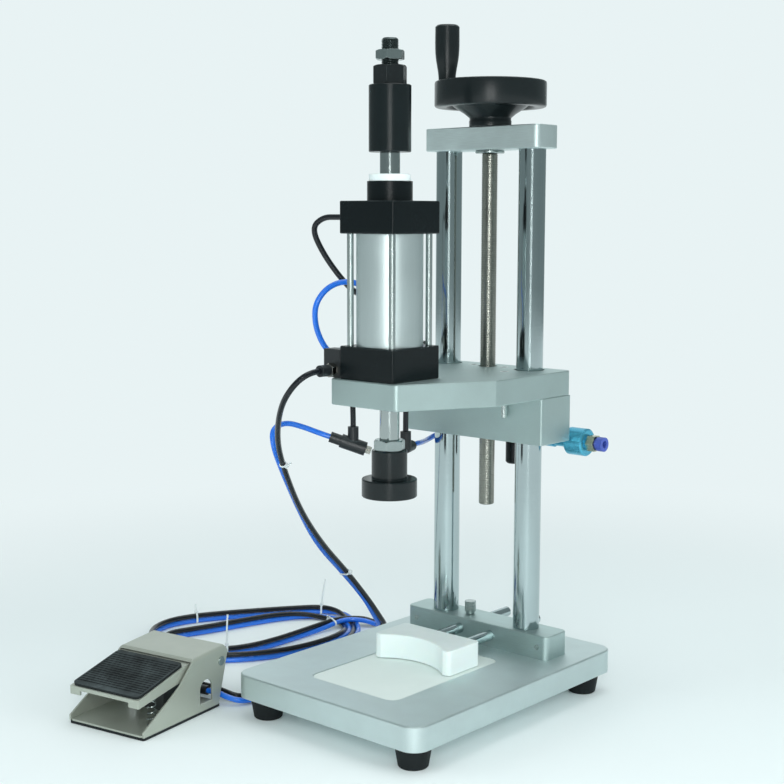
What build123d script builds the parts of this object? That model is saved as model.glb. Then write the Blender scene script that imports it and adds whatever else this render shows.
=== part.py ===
"""Pneumatic cap press with a hand-fed carriage, a bench base and a foot valve.

Millimetres. X runs along the line of the two columns, Y runs from the front to the rear and Z is up.
The origin lies on the floor under the middle of the base plate.
"""

import os
from math import atan, cos, degrees, pi, radians, sin, sqrt, tan

from build123d import *

os.makedirs("parts", exist_ok=True)

# Clearances
running = 0.05
gap = 0.3

# Base
base_width = 260.0
base_depth = 350.0
base_thick = 26.0
base_corner = 18.0
base_edge = 1.2
foot_height = 24.0
foot_top_radius = 19.5
foot_bottom_radius = 15.5
foot_inset = 26.0
foot_edge = 1.0
foot_screw_radius = 3.0
foot_screw_head = 6.5
foot_screw_head_height = 5.0
foot_screw_depth = 13.0
foot_recess = 10.0
pad_width = 122.0
pad_front = -130.0
pad_back = 50.0
pad_corner = 12.0
pad_thick = 3.0
pad_low = 0.6

# Columns and their blocks
column_radius = 15.0
column_spacing = 117.0
column_row = 101.0
column_seat = 18.0
column_block_width = 204.0
column_block_depth = 40.0
column_block_height = 27.0
column_block_corner = 7.0
top_block_width = 159.0
top_block_depth = 40.0
top_block_height = 25.4
top_block_corner = 6.0
top_block_bottom = 614.6
block_edge = 0.8
block_bolt_x = 88.0
block_bolt_radius = 4.0
block_bolt_head = 6.5
block_bolt_head_height = 8.0
block_bolt_reach = 14.0
grub_radius = 3.0
grub_length = 8.0

# Bottle stop
stop_block_width = 108.0
stop_block_front = -32.0
stop_block_depth = 54.0
stop_block_height = 27.0
stop_block_corner = 5.0
notch_radius = 68.0
notch_depth = 17.0
rod_spacing = 44.0
rod_radius = 6.0
rod_height = 14.0
rod_embed = 30.0
rod_tail = 52.0
thumb_stem_radius = 3.0
thumb_head_radius = 6.5
thumb_head_height = 12.0
thumb_collar_height = 3.0
thumb_collar_radius = 5.0
thumb_knurls = 24
thumb_knurl_radius = 0.5

# Height feed
screw_radius = 8.9
screw_bottom = 212.0
screw_chamfer = 1.5
journal_radius = 6.5
bush_radius = 10.0
collar_radius = 16.3
collar_height = 3.4
wheel_radius = 62.5
wheel_rim_height = 25.0
wheel_rim_width = 15.0
wheel_lift = 18.5
wheel_hub_radius = 23.2
wheel_hub_straight = 6.0
wheel_hub_waist = 18.0
wheel_hub_top = 20.0
wheel_web_lift = 9.0
wheel_web = 7.0
wheel_rim_draft = 2.0
wheel_rim_round = 2.5
wheel_rib = 6.0
wheel_rib_low = 1.5
wheel_rib_embed = 2.0
wheel_rib_count = 3
crank_circle = 48.6
crank_angle = 221.5
crank_length = 67.0
crank_top_radius = 13.5
crank_bottom_radius = 9.5
crank_pin_radius = 4.0
crank_pin_head = 6.5
crank_pin_head_height = 5.0
crank_pin_sink = 1.0
crank_foot = 6.0
crank_middle_radius = 12.6
crank_top_round = 2.0
crank_middle = 0.45

# Carriage
carriage_width = 194.0
carriage_depth = 55.0
carriage_bottom = 293.0
carriage_height = 51.4
carriage_forward = 2.5
plate_thick = 27.5
plate_front = -110.0
plate_shoulder = -10.0
plate_front_width = 90.0
plate_corner = 5.0
bush_wall = 3.5
nut_radius = 14.0
plate_column_clearance = 2.0
plate_screw_radius = 3.0
plate_screw_head = 5.0
plate_screw_head_height = 6.0
plate_screw_length = 45.0
socket_depth = 3.0
socket_radius = 2.9
plate_hose_hole = 6.0
plate_screws = [(-50.0, 66.0), (50.0, 66.0), (-22.0, 103.0), (22.0, 103.0)]

# Cylinder
cylinder_y = -68.0
cap_size = 75.0
cap_corner = 3.0
bottom_cap_height = 34.6
barrel_length = 116.7
barrel_bore = 31.5
barrel_wall = 3.5
top_cap_height = 33.7
neck_radius = 23.75
neck_height = 20.1
spigot_length = 20.0
tie_rod_radius = 3.5
tie_rod_offset = 29.0
tie_nut_radius = 6.0
tie_nut_height = 6.0
tie_nut_sink = 7.0
tie_nut_margin = 0.6
cap_relief = 4.0
bumper_radius = 21.8
bumper_height = 7.3
rod_bush_wall = 3.0
piston_height = 22.0
piston_top_gap = 1.5
groove_depth = 2.0
groove_height = 3.5
groove_levels = (0.28, 0.72)

# Through rod, its stop and the press head
piston_rod_radius = 10.5
rod_flat_width = 17.0
rod_flat_height = 14.0
nut_crown = 3.0
upper_thread_radius = 9.0
lower_thread_radius = 7.0
press_stroke = 22.3
stop_sleeve_radius = 22.0
stop_sleeve_height = 68.2
adjusting_nut_width = 31.4
adjusting_nut_height = 19.5
thin_nut_gap = 5.4
thin_nut_width = 27.0
thin_nut_height = 9.9
thread_stand = 12.1
head_nut_width = 30.0
head_nut_height = 11.1
head_bottom = 246.0
head_flange_radius = 29.5
head_flange_height = 19.5
head_neck_radius = 19.0
head_height = 49.8
head_edge = 1.5
head_thread_depth = 24.0

# Pilot valve beside the cylinder
valve_width = 23.0
valve_height = 30.0
valve_left = -64.0
valve_front = -101.0
valve_length = 106.0
valve_cap_length = 16.0
valve_edge = 0.8
pilot_port_x = -50.0
pilot_port_z = 380.0
side_port_level = 0.6
loop_port_y = -54.0
supply_port_y = -16.0
top_port_y = -20.0
return_port_z = 392.0
return_drop_y = 22.0

# Push-in fittings
hose_radius = 3.2
hose_lead = 15.0
fitting_hex = 13.0
fitting_hex_length = 8.0
fitting_collar_radius = 6.2
fitting_collar_length = 13.0
flow_body_radius = 8.0
flow_body_length = 30.0
elbow_body_radius = 6.5
elbow_leg = 8.0
elbow_collar_length = 11.0
elbow_reach = 12.0
flow_x = -108.0
flow_y = -8.5
flow_z = 282.0
flow_yaw = 41.1
flow_dip = 19.3
needle_radius = 4.5
needle_length = 6.0
needle_knurls = 16
needle_knurl_radius = 0.4
elbow_x = -57.0
elbow_y = 24.0
elbow_z = 280.0
elbow_yaw = 109.9

# Inlet line behind the carriage
inlet_y = 143.0
inlet_z = 290.0
manifold_left = -8.0
manifold_right = 54.0
manifold_height = 20.0
manifold_depth = 18.0
manifold_rise = 6.0
bowl_chamfer = 2.0
bowl_radius = 10.0
bowl_bottom = 255.0
bowl_x = 8.0
slide_tube_radius = 8.0
slide_tube_length = 58.0
slide_sleeve_radius = 15.5
slide_sleeve_length = 24.0
slide_sleeve_start = 86.0
slide_shoulder_radius = 9.5
slide_shoulder_length = 12.0
slide_sleeve_chamfer = 1.5
inlet_hex = 17.0
inlet_hex_length = 10.0
inlet_bore = 4.1
inlet_bore_depth = 8.0
release_radius = 8.0
release_length = 8.0
release_gap = 2.0
release_stem_radius = 6.0
release_travel = 1.5
release_stem_reach = 6.0

# Foot pedal
pedal_x = -209.0
pedal_y = -230.0
pedal_turn = 10.0
pedal_width = 105.0
pedal_front = -67.0
pedal_back = 60.0
mat_thick = 3.0
mat_corner = 3.0
sheet = 2.0
housing_height = 68.0
housing_top_front = 16.0
housing_bend = 4.0
housing_slope = 3.0
housing_back_low = 57.0
housing_back_high = 74.0
housing_back_drop = 8.0
housing_back_cut = 6.0
housing_gap = 2.5
cheek_knee_y = -8.0
cheek_knee_z = 42.0
cheek_front_height = 6.0
arch_start = 25.0
arch_width = 21.0
arch_bottom = 11.0
arch_height = 26.0
pedal_pin_y = 62.0
pedal_pin_z = 51.0
pedal_pin_radius = 3.0
pedal_rivet_radius = 5.0
pedal_rivet_height = 1.5
plate_pin_margin = 6.0
plate_rear_top = 8.0
plate_tip_y = -69.0
plate_tip_z = 43.0
plate_flange = 9.0
pedal_plate_width = 96.0
flange_knee_y = -8.0
flange_knee_depth = 14.0
lip_notch = 14.0
lip_height = 4.0
pad_inset = 1.5
rubber_corner = 6.0
rubber_back_margin = 2.0
rib_margin = 4.0
rubber_thick = 3.0
rib_pitch = 4.0
rib_depth = 0.8
rib_width = 1.6
foot_valve_width = 40.0
foot_valve_height = 26.0
foot_valve_front = 2.0
foot_valve_back = 50.0
plunger_radius = 4.0
plunger_y = 24.0
plunger_depth = 16.0
plunger_slack = 0.5
plunger_dome = 3.0
port_spread = 22.0
port_reach = 16.0
port_step = 13.0
pedal_elbow_radius = 5.5
pedal_collar_radius = 5.2
pedal_travel = 8.0
spring_radius = 4.5
spring_wire = 0.8
spring_y = -38.0
spring_x = 38.0

# Floor coil of the two pedal hoses
coil_x = -365.0
coil_y = 62.0
coil_turn = 62.0
coil_outside = [
    (-143, -30),
    (-103, 42),
    (-15, 51),
    (75, 42),
    (136, 16),
    (141, -45),
    (110, -114),
    (36, -160),
    (-32, -150),
    (-110, -116),
]
coil_inside = [
    (104, -22),
    (50, -65),
    (-20, -100),
    (-62, -103),
    (-108, -66),
    (-106, -28),
    (-44, -15),
    (45, 5),
    (84, 2),
]

# Heights and places that follow from the sizes above
base_top = foot_height + base_thick
column_x = column_spacing / 2
column_places = [(-column_x, column_row), (column_x, column_row)]
column_block_top = base_top + column_block_height
top_block_top = top_block_bottom + top_block_height
carriage_top = carriage_bottom + carriage_height
carriage_row = column_row - carriage_forward
carriage_back = carriage_row + carriage_depth / 2
plate_top = carriage_top + plate_thick
barrel_bottom = plate_top + bottom_cap_height
barrel_top = barrel_bottom + barrel_length
cylinder_top = barrel_top + top_cap_height
neck_top = cylinder_top + neck_height
bumper_top = neck_top + bumper_height
sleeve_bottom = bumper_top + press_stroke
sleeve_top = sleeve_bottom + stop_sleeve_height
adjusting_nut_top = sleeve_top + adjusting_nut_height
thin_nut_bottom = adjusting_nut_top + thin_nut_gap
thin_nut_top = thin_nut_bottom + thin_nut_height
rod_top = thin_nut_top + thread_stand
head_top = head_bottom + head_height
head_nut_top = head_top + head_nut_height
rod_axis_z = base_top + rod_height
stop_block_bottom = base_top + gap
wheel_bottom = top_block_top + gap
rim_bottom = wheel_bottom + wheel_lift
rim_top = rim_bottom + wheel_rim_height
column_block_front = column_row - column_block_depth / 2
column_block_back = column_row + column_block_depth / 2
stop_block_back = stop_block_front + stop_block_depth
grub_z = base_top + column_block_height / 2
grub_depth = column_block_depth / 2 - block_bolt_radius
thumb_x = -rod_spacing / 2
web_bottom = rim_bottom + wheel_web_lift
web_top = web_bottom + wheel_web
hub_top = rim_bottom + wheel_hub_top
wheel_rib_length = wheel_radius - wheel_rim_width - wheel_hub_waist + wheel_rib_embed
wheel_rib_middle = (wheel_radius - wheel_rim_width + wheel_hub_waist) / 2
crank_place = (
    crank_circle * cos(radians(crank_angle)),
    column_row + crank_circle * sin(radians(crank_angle)),
)
crank_bottom = rim_top + gap
crank_top = crank_bottom + crank_length
crank_pin_top = crank_top - crank_pin_sink
crank_pin_seat = crank_pin_top - crank_pin_head_height - gap
plate_screw_bottom = plate_top - plate_screw_head_height - plate_screw_length
rod_bush_outer = piston_rod_radius + rod_bush_wall
foot_x = base_width / 2 - foot_inset
foot_y = base_depth / 2 - foot_inset
valve_right = valve_left + valve_width
valve_x = (valve_left + valve_right) / 2
valve_back = valve_front + valve_length
valve_top = plate_top + valve_height


def finish(part, name):
    """Name a finished piece and write it to its own file."""
    part.part.label = name
    export_step(part.part, f"parts/{name}.step")
    return part


# Base plate: slab on four feet with a shallow pocket for the pad
block_bolt_places = [(-block_bolt_x, column_row), (block_bolt_x, column_row)]
with BuildPart() as base_plate:
    with BuildSketch(Plane.XY.offset(foot_height)):
        RectangleRounded(base_width, base_depth, base_corner)
    extrude(amount=base_thick)
    chamfer(base_plate.faces().sort_by(Axis.Z)[-1].edges(), base_edge)
    with BuildSketch(Plane.XY.offset(base_top - pad_thick)):
        with Locations((0, (pad_front + pad_back) / 2)):
            RectangleRounded(pad_width, pad_back - pad_front, pad_corner)
    extrude(amount=pad_thick, mode=Mode.SUBTRACT)
    with BuildSketch(Plane.XY.offset(foot_height)):
        with GridLocations(2 * foot_x, 2 * foot_y, 2, 2):
            Circle(foot_screw_radius)
    extrude(amount=foot_screw_depth, mode=Mode.SUBTRACT)
    with BuildSketch(Plane.XY.offset(foot_height)):
        with Locations(*block_bolt_places):
            Circle(block_bolt_radius)
    extrude(amount=base_thick, mode=Mode.SUBTRACT)
    with BuildSketch(Plane.XY.offset(foot_height)):
        with Locations(*block_bolt_places):
            Circle(block_bolt_head + gap)
    extrude(amount=block_bolt_head_height + gap, mode=Mode.SUBTRACT)
finish(base_plate, "base_plate")

# Pale pad in the pocket, on which the bottle stands
with BuildPart() as bottle_pad:
    with BuildSketch(Plane.XY.offset(base_top - pad_thick)):
        with Locations((0, (pad_front + pad_back) / 2)):
            RectangleRounded(pad_width - 2 * gap, pad_back - pad_front - 2 * gap, pad_corner - gap)
    extrude(amount=pad_thick - pad_low)
finish(bottle_pad, "bottle_pad")

# Four tapered rubber feet, each bored and recessed for its screw
with BuildPart() as rubber_feet:
    with BuildSketch(Plane.XZ) as foot_section:
        with BuildLine():
            Polyline(
                (foot_screw_radius, foot_recess),
                (foot_screw_head + gap, foot_recess),
                (foot_screw_head + gap, 0),
                (foot_bottom_radius - foot_edge, 0),
                (foot_bottom_radius, foot_edge),
                (foot_top_radius, foot_height),
                (foot_screw_radius, foot_height),
                close=True,
            )
        make_face()
    foot = revolve(foot_section.sketch, axis=Axis.Z, mode=Mode.PRIVATE)
    with GridLocations(2 * foot_x, 2 * foot_y, 2, 2):
        add(foot)
finish(rubber_feet, "rubber_feet")

# Steel screws under the base: one up through each foot, two up into the column block,
# and two grub screws that clamp the columns in that block
with BuildPart() as frame_screws:
    with BuildSketch(Plane.XY.offset(foot_recess - foot_screw_head_height)):
        with GridLocations(2 * foot_x, 2 * foot_y, 2, 2):
            Circle(foot_screw_head)
    extrude(amount=foot_screw_head_height)
    with BuildSketch(Plane.XY.offset(foot_recess)):
        with GridLocations(2 * foot_x, 2 * foot_y, 2, 2):
            Circle(foot_screw_radius)
    extrude(amount=foot_height + foot_screw_depth - foot_recess - gap)
    with BuildSketch(Plane.XY.offset(foot_height + gap)):
        with Locations(*block_bolt_places):
            Circle(block_bolt_head)
    extrude(amount=block_bolt_head_height)
    with BuildSketch(Plane.XY.offset(foot_height + block_bolt_head_height + gap)):
        with Locations(*block_bolt_places):
            Circle(block_bolt_radius)
    extrude(amount=base_thick - block_bolt_head_height - gap + block_bolt_reach)
    with BuildSketch(Plane.XZ.offset(-column_block_front)):
        with Locations((-block_bolt_x, grub_z), (block_bolt_x, grub_z)):
            Circle(grub_radius)
    extrude(amount=-grub_length)
finish(frame_screws, "frame_screws")

# Column block: carries both columns, the two guide rods and the thumb screw
with BuildPart() as column_block:
    with BuildSketch(Plane.XY.offset(base_top)):
        with Locations((0, column_row)):
            RectangleRounded(column_block_width, column_block_depth, column_block_corner)
    extrude(amount=column_block_height)
    chamfer(column_block.faces().sort_by(Axis.Z)[-1].edges(), block_edge)
    with BuildSketch(Plane.XY.offset(base_top)):
        with Locations(*column_places):
            Circle(column_radius)
    extrude(amount=column_block_height, mode=Mode.SUBTRACT)
    with BuildSketch(Plane.XY.offset(base_top)):
        with Locations(*block_bolt_places):
            Circle(block_bolt_radius)
    extrude(amount=block_bolt_reach + gap, mode=Mode.SUBTRACT)
    with BuildSketch(Plane.XZ.offset(-column_block_front)):
        with Locations((-rod_spacing / 2, rod_axis_z), (rod_spacing / 2, rod_axis_z)):
            Circle(rod_radius + running)
    extrude(amount=-column_block_depth, mode=Mode.SUBTRACT)
    with BuildSketch(Plane.XZ.offset(-column_block_front)):
        with Locations((-block_bolt_x, grub_z), (block_bolt_x, grub_z)):
            Circle(grub_radius)
    extrude(amount=-grub_depth, mode=Mode.SUBTRACT)
    with BuildSketch(Plane.XY.offset(rod_axis_z)):
        with Locations((thumb_x, column_row)):
            Circle(thumb_stem_radius + running)
    extrude(amount=column_block_height, mode=Mode.SUBTRACT)
finish(column_block, "column_block")

# Two ground and plated columns, from the base plate up into the top block
with BuildPart() as columns:
    with BuildSketch(Plane.XY.offset(base_top)):
        with Locations(*column_places):
            Circle(column_radius)
    extrude(amount=top_block_bottom + column_seat - base_top)
finish(columns, "columns")

# Top block: blind bores for the columns and a bore for the screw's bush
with BuildPart() as top_block:
    with BuildSketch(Plane.XY.offset(top_block_bottom)):
        with Locations((0, column_row)):
            RectangleRounded(top_block_width, top_block_depth, top_block_corner)
    extrude(amount=top_block_height)
    chamfer(top_block.faces().sort_by(Axis.Z)[-1].edges(), block_edge)
    chamfer(top_block.faces().sort_by(Axis.Z)[0].edges(), block_edge)
    with BuildSketch(Plane.XY.offset(top_block_bottom)):
        with Locations(*column_places):
            Circle(column_radius)
    extrude(amount=column_seat, mode=Mode.SUBTRACT)
    with BuildSketch(Plane.XY.offset(top_block_bottom)):
        with Locations((0, column_row)):
            Circle(bush_radius)
    extrude(amount=top_block_height, mode=Mode.SUBTRACT)
finish(top_block, "top_block")

# Bronze bush in which the lead screw's journal turns
with BuildPart() as screw_bush:
    with BuildSketch(Plane.XY.offset(top_block_bottom)):
        with Locations((0, column_row)):
            Circle(bush_radius)
            Circle(journal_radius + running, mode=Mode.SUBTRACT)
    extrude(amount=top_block_height)
finish(screw_bush, "screw_bush")

# Locating block: its round notch meets the bottle and its rear holds the two guide rods
with BuildPart() as locating_block:
    with BuildSketch(Plane.XY.offset(stop_block_bottom)) as stop_outline:
        with Locations((0, stop_block_front + stop_block_depth / 2)):
            RectangleRounded(stop_block_width, stop_block_depth, stop_block_corner)
        with Locations((0, stop_block_front + notch_depth - notch_radius)):
            Circle(notch_radius, mode=Mode.SUBTRACT)
    extrude(amount=stop_block_height)
    chamfer(locating_block.faces().sort_by(Axis.Z)[-1].edges(), block_edge)
    with BuildSketch(Plane.XZ.offset(-stop_block_back)):
        with Locations((-rod_spacing / 2, rod_axis_z), (rod_spacing / 2, rod_axis_z)):
            Circle(rod_radius)
    extrude(amount=rod_embed, mode=Mode.SUBTRACT)
finish(locating_block, "locating_block")

# Two guide rods that slide through the column block
with BuildPart() as guide_rods:
    with BuildSketch(Plane.XZ.offset(-(stop_block_back - rod_embed))):
        with Locations((-rod_spacing / 2, rod_axis_z), (rod_spacing / 2, rod_axis_z)):
            Circle(rod_radius)
    extrude(amount=-(rod_embed + column_block_back - stop_block_back + rod_tail))
finish(guide_rods, "guide_rods")

# Thumb screw on top of the column block, which clamps the left guide rod
with BuildPart() as thumb_screw:
    with BuildSketch(Plane.XY.offset(rod_axis_z + rod_radius + gap)):
        with Locations((thumb_x, column_row)):
            Circle(thumb_stem_radius)
    extrude(amount=column_block_top - rod_axis_z - rod_radius)
    with BuildSketch(Plane.XY.offset(column_block_top + gap)):
        with Locations((thumb_x, column_row)):
            Circle(thumb_collar_radius)
    extrude(amount=thumb_collar_height)
    with BuildSketch(Plane.XY.offset(column_block_top + gap + thumb_collar_height)):
        with Locations((thumb_x, column_row)):
            Circle(thumb_head_radius)
            with PolarLocations(thumb_head_radius, thumb_knurls):
                Circle(thumb_knurl_radius, mode=Mode.SUBTRACT)
    extrude(amount=thumb_head_height)
finish(thumb_screw, "thumb_screw")

# Lead screw: threaded length below the top block, journal through the bush and the wheel hub
with BuildPart() as lead_screw:
    with BuildSketch(Plane.XY.offset(screw_bottom)):
        with Locations((0, column_row)):
            Circle(screw_radius)
    extrude(amount=top_block_bottom - gap - screw_bottom)
    chamfer(lead_screw.faces().sort_by(Axis.Z)[0].edges(), screw_chamfer)
    with BuildSketch(Plane.XY.offset(top_block_bottom - gap)):
        with Locations((0, column_row)):
            Circle(journal_radius)
    extrude(amount=hub_top - top_block_bottom + gap)
finish(lead_screw, "lead_screw")

# Collar pinned on the lead screw under the top block, which carries the carriage's weight
with BuildPart() as screw_collar:
    with BuildSketch(Plane.XY.offset(top_block_bottom - gap - collar_height)):
        with Locations((0, column_row)):
            Circle(collar_radius)
            Circle(screw_radius, mode=Mode.SUBTRACT)
    extrude(amount=collar_height)
    chamfer(screw_collar.edges().filter_by(GeomType.CIRCLE).sort_by(SortBy.RADIUS)[-2:], block_edge)
finish(screw_collar, "screw_collar")

# Handwheel: deep rounded rim, thin web with ribs underneath and a coned hub
with BuildPart() as handwheel:
    with BuildSketch(Plane.XZ.offset(-column_row)):
        with BuildLine():
            Polyline(
                (journal_radius, wheel_bottom),
                (wheel_hub_radius, wheel_bottom),
                (wheel_hub_radius, wheel_bottom + wheel_hub_straight),
                (wheel_hub_waist, web_bottom),
                (wheel_radius - wheel_rim_width, web_bottom),
                (wheel_radius - wheel_rim_width + wheel_rim_draft, rim_bottom),
                (wheel_radius, rim_bottom),
                (wheel_radius, rim_top),
                (wheel_radius - wheel_rim_width, rim_top),
                (wheel_radius - wheel_rim_width, web_top),
                (wheel_hub_waist, web_top),
                (wheel_hub_waist, hub_top),
                (journal_radius, hub_top),
                close=True,
            )
        make_face()
    revolve(axis=Axis((0, column_row, 0), (0, 0, 1)))
    rim_edges = handwheel.edges().filter_by(GeomType.CIRCLE).filter_by(lambda e: e.radius > wheel_radius - wheel_rim_draft)
    fillet(rim_edges, wheel_rim_round)
    with BuildSketch(Plane.XY.offset(rim_bottom + wheel_rib_low)):
        with Locations((0, column_row)):
            with PolarLocations(wheel_rib_middle, wheel_rib_count):
                Rectangle(wheel_rib_length, wheel_rib)
    extrude(amount=web_bottom - rim_bottom - wheel_rib_low)
    with BuildSketch(Plane.XY.offset(web_bottom)):
        with Locations(crank_place):
            Circle(crank_pin_radius)
    extrude(amount=wheel_rim_height, mode=Mode.SUBTRACT)
finish(handwheel, "handwheel")

# Pin of the crank handle: screwed into the web, with a head inside the handle's top
with BuildPart() as crank_pin:
    with BuildSketch(Plane.XY.offset(web_bottom)):
        with Locations(crank_place):
            Circle(crank_pin_radius)
    extrude(amount=crank_pin_top - crank_pin_head_height - web_bottom)
    with BuildSketch(Plane.XY.offset(crank_pin_top - crank_pin_head_height)):
        with Locations(crank_place):
            Circle(crank_pin_head)
    extrude(amount=crank_pin_head_height)
finish(crank_pin, "crank_pin")

# Crank handle: a tapered black grip that spins on its pin
with BuildPart() as crank_handle:
    with BuildSketch(Plane((crank_place[0], crank_place[1], 0), x_dir=(1, 0, 0), z_dir=(0, -1, 0))):
        grip_low = (crank_bottom_radius, crank_bottom + crank_foot)
        grip_high = (crank_top_radius, crank_top - crank_top_round)
        with BuildLine():
            Polyline(
                (crank_pin_radius + running, crank_pin_seat),
                (crank_pin_radius + running, crank_bottom),
                (crank_bottom_radius, crank_bottom),
                grip_low,
            )
            Spline(
                grip_low,
                (crank_middle_radius, crank_bottom + crank_length * crank_middle),
                grip_high,
                tangents=[(0, 1), (0, 1)],
            )
            Polyline(
                grip_high,
                (crank_top_radius - crank_top_round, crank_top),
                (crank_pin_head + running, crank_top),
                (crank_pin_head + running, crank_pin_seat),
                (crank_pin_radius + running, crank_pin_seat),
            )
        make_face()
    revolve(axis=Axis((crank_place[0], crank_place[1], 0), (0, 0, 1)))
finish(crank_handle, "crank_handle")

# Carriage block: slides on the columns and holds the lead nut
with BuildPart() as carriage_block:
    with BuildSketch(Plane.XY.offset(carriage_bottom)):
        with Locations((0, carriage_row)):
            Rectangle(carriage_width, carriage_depth)
    extrude(amount=carriage_height)
    chamfer(carriage_block.edges().filter_by(Axis.Z), block_edge)
    chamfer(carriage_block.faces().sort_by(Axis.Z)[0].edges(), block_edge)
    with BuildSketch(Plane.XY.offset(carriage_bottom)):
        with Locations(*column_places):
            Circle(column_radius + bush_wall)
        with Locations((0, column_row)):
            Circle(nut_radius)
    extrude(amount=carriage_height, mode=Mode.SUBTRACT)
    with BuildSketch(Plane.XY.offset(plate_screw_bottom)):
        with Locations(*plate_screws):
            Circle(plate_screw_radius)
    extrude(amount=carriage_height, mode=Mode.SUBTRACT)
finish(carriage_block, "carriage_block")

# Bronze pieces of the carriage: two column bushes, the lead nut, and the rod bushes of both caps
with BuildPart() as carriage_bushes:
    with BuildSketch(Plane.XY.offset(carriage_bottom)):
        with Locations(*column_places):
            Circle(column_radius + bush_wall)
            Circle(column_radius + running, mode=Mode.SUBTRACT)
    extrude(amount=carriage_height)
    with BuildSketch(Plane.XY.offset(carriage_bottom)):
        with Locations((0, column_row)):
            Circle(nut_radius)
            Circle(screw_radius + running, mode=Mode.SUBTRACT)
    extrude(amount=carriage_height)
    with BuildSketch(Plane.XY.offset(plate_top - spigot_length)):
        with Locations((0, cylinder_y)):
            Circle(rod_bush_outer)
            Circle(piston_rod_radius + running, mode=Mode.SUBTRACT)
    extrude(amount=spigot_length + bottom_cap_height - cap_relief)
    with BuildSketch(Plane.XY.offset(barrel_top + cap_relief)):
        with Locations((0, cylinder_y)):
            Circle(rod_bush_outer)
            Circle(piston_rod_radius + running, mode=Mode.SUBTRACT)
    extrude(amount=top_cap_height - cap_relief + neck_height)
finish(carriage_bushes, "carriage_bushes")

# Carriage plate: its slanted nose carries the cylinder in front of the columns
plate_outline = [
    (-plate_front_width / 2, plate_front),
    (plate_front_width / 2, plate_front),
    (carriage_width / 2, plate_shoulder),
    (carriage_width / 2, carriage_back),
    (-carriage_width / 2, carriage_back),
    (-carriage_width / 2, plate_shoulder),
]
with BuildPart() as carriage_plate:
    with BuildSketch(Plane.XY.offset(carriage_top)) as plate_face:
        with BuildLine():
            Polyline(*plate_outline, close=True)
        make_face()
        fillet(plate_face.vertices(), plate_corner)
    extrude(amount=plate_thick)
    chamfer(carriage_plate.faces().sort_by(Axis.Z)[-1].edges(), block_edge)
    chamfer(carriage_plate.faces().sort_by(Axis.Z)[0].edges(), block_edge)
    with BuildSketch(Plane.XY.offset(carriage_top)):
        with Locations(*column_places):
            Circle(column_radius + plate_column_clearance)
        with Locations((0, column_row)):
            Circle(screw_radius + plate_column_clearance)
        with Locations((0, cylinder_y)):
            Circle(neck_radius)
        with Locations((valve_x, return_drop_y)):
            Circle(plate_hose_hole)
        with Locations(*plate_screws):
            Circle(plate_screw_radius)
    extrude(amount=plate_thick, mode=Mode.SUBTRACT)
    with BuildSketch(Plane.XY.offset(plate_top - plate_screw_head_height)):
        with Locations(*plate_screws):
            Circle(plate_screw_head + gap)
    extrude(amount=plate_screw_head_height, mode=Mode.SUBTRACT)
finish(carriage_plate, "carriage_plate")

# Socket screws that hold the plate down on the carriage block
with BuildPart() as plate_bolts:
    with BuildSketch(Plane.XY.offset(plate_screw_bottom)):
        with Locations(*plate_screws):
            Circle(plate_screw_radius)
    extrude(amount=plate_screw_length)
    with BuildSketch(Plane.XY.offset(plate_screw_bottom + plate_screw_length)):
        with Locations(*plate_screws):
            Circle(plate_screw_head)
    extrude(amount=plate_screw_head_height)
    with BuildSketch(Plane.XY.offset(plate_top - socket_depth)):
        with Locations(*plate_screws):
            RegularPolygon(socket_radius, 6)
    extrude(amount=socket_depth, mode=Mode.SUBTRACT)
finish(plate_bolts, "plate_bolts")


def cap(bottom, height, nut_face, nut_side, bore, mouth, mouth_depth):
    """Square end cap with bores for the rod, the barrel's register and the sunk tie rod nuts."""
    with BuildPart() as block:
        with BuildSketch(Plane.XY.offset(bottom)):
            with Locations((0, cylinder_y)):
                RectangleRounded(cap_size, cap_size, cap_corner)
        extrude(amount=height)
        chamfer(block.faces().sort_by(Axis.Z)[-1].edges(), block_edge)
        chamfer(block.faces().sort_by(Axis.Z)[0].edges(), block_edge)
        with BuildSketch(Plane.XY.offset(bottom)):
            with Locations((0, cylinder_y)):
                Circle(bore)
                with GridLocations(2 * tie_rod_offset, 2 * tie_rod_offset, 2, 2):
                    Circle(tie_rod_radius)
        extrude(amount=height, mode=Mode.SUBTRACT)
        with BuildSketch(Plane.XY.offset(mouth)):
            with Locations((0, cylinder_y)):
                Circle(barrel_bore)
        extrude(amount=mouth_depth, mode=Mode.SUBTRACT)
        with BuildSketch(Plane.XY.offset(nut_face)):
            with Locations((0, cylinder_y)):
                with GridLocations(2 * tie_rod_offset, 2 * tie_rod_offset, 2, 2):
                    Circle(tie_nut_radius + gap)
        extrude(amount=nut_side * tie_nut_sink, mode=Mode.SUBTRACT)
    return block


# Bottom cap with the spigot that centres it in the plate
with BuildPart() as cylinder_bottom_cap:
    add(cap(plate_top, bottom_cap_height, plate_top, 1, rod_bush_outer, barrel_bottom - cap_relief, cap_relief))
    with BuildSketch(Plane.XY.offset(plate_top - spigot_length)):
        with Locations((0, cylinder_y)):
            Circle(neck_radius)
            Circle(rod_bush_outer, mode=Mode.SUBTRACT)
    extrude(amount=spigot_length)
finish(cylinder_bottom_cap, "cylinder_bottom_cap")

# Top cap with its round neck
with BuildPart() as cylinder_top_cap:
    add(cap(barrel_top, top_cap_height, cylinder_top, -1, rod_bush_outer, barrel_top, cap_relief))
    with BuildSketch(Plane.XY.offset(cylinder_top)):
        with Locations((0, cylinder_y)):
            Circle(neck_radius)
            Circle(rod_bush_outer, mode=Mode.SUBTRACT)
    extrude(amount=neck_height)
finish(cylinder_top_cap, "cylinder_top_cap")

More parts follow.
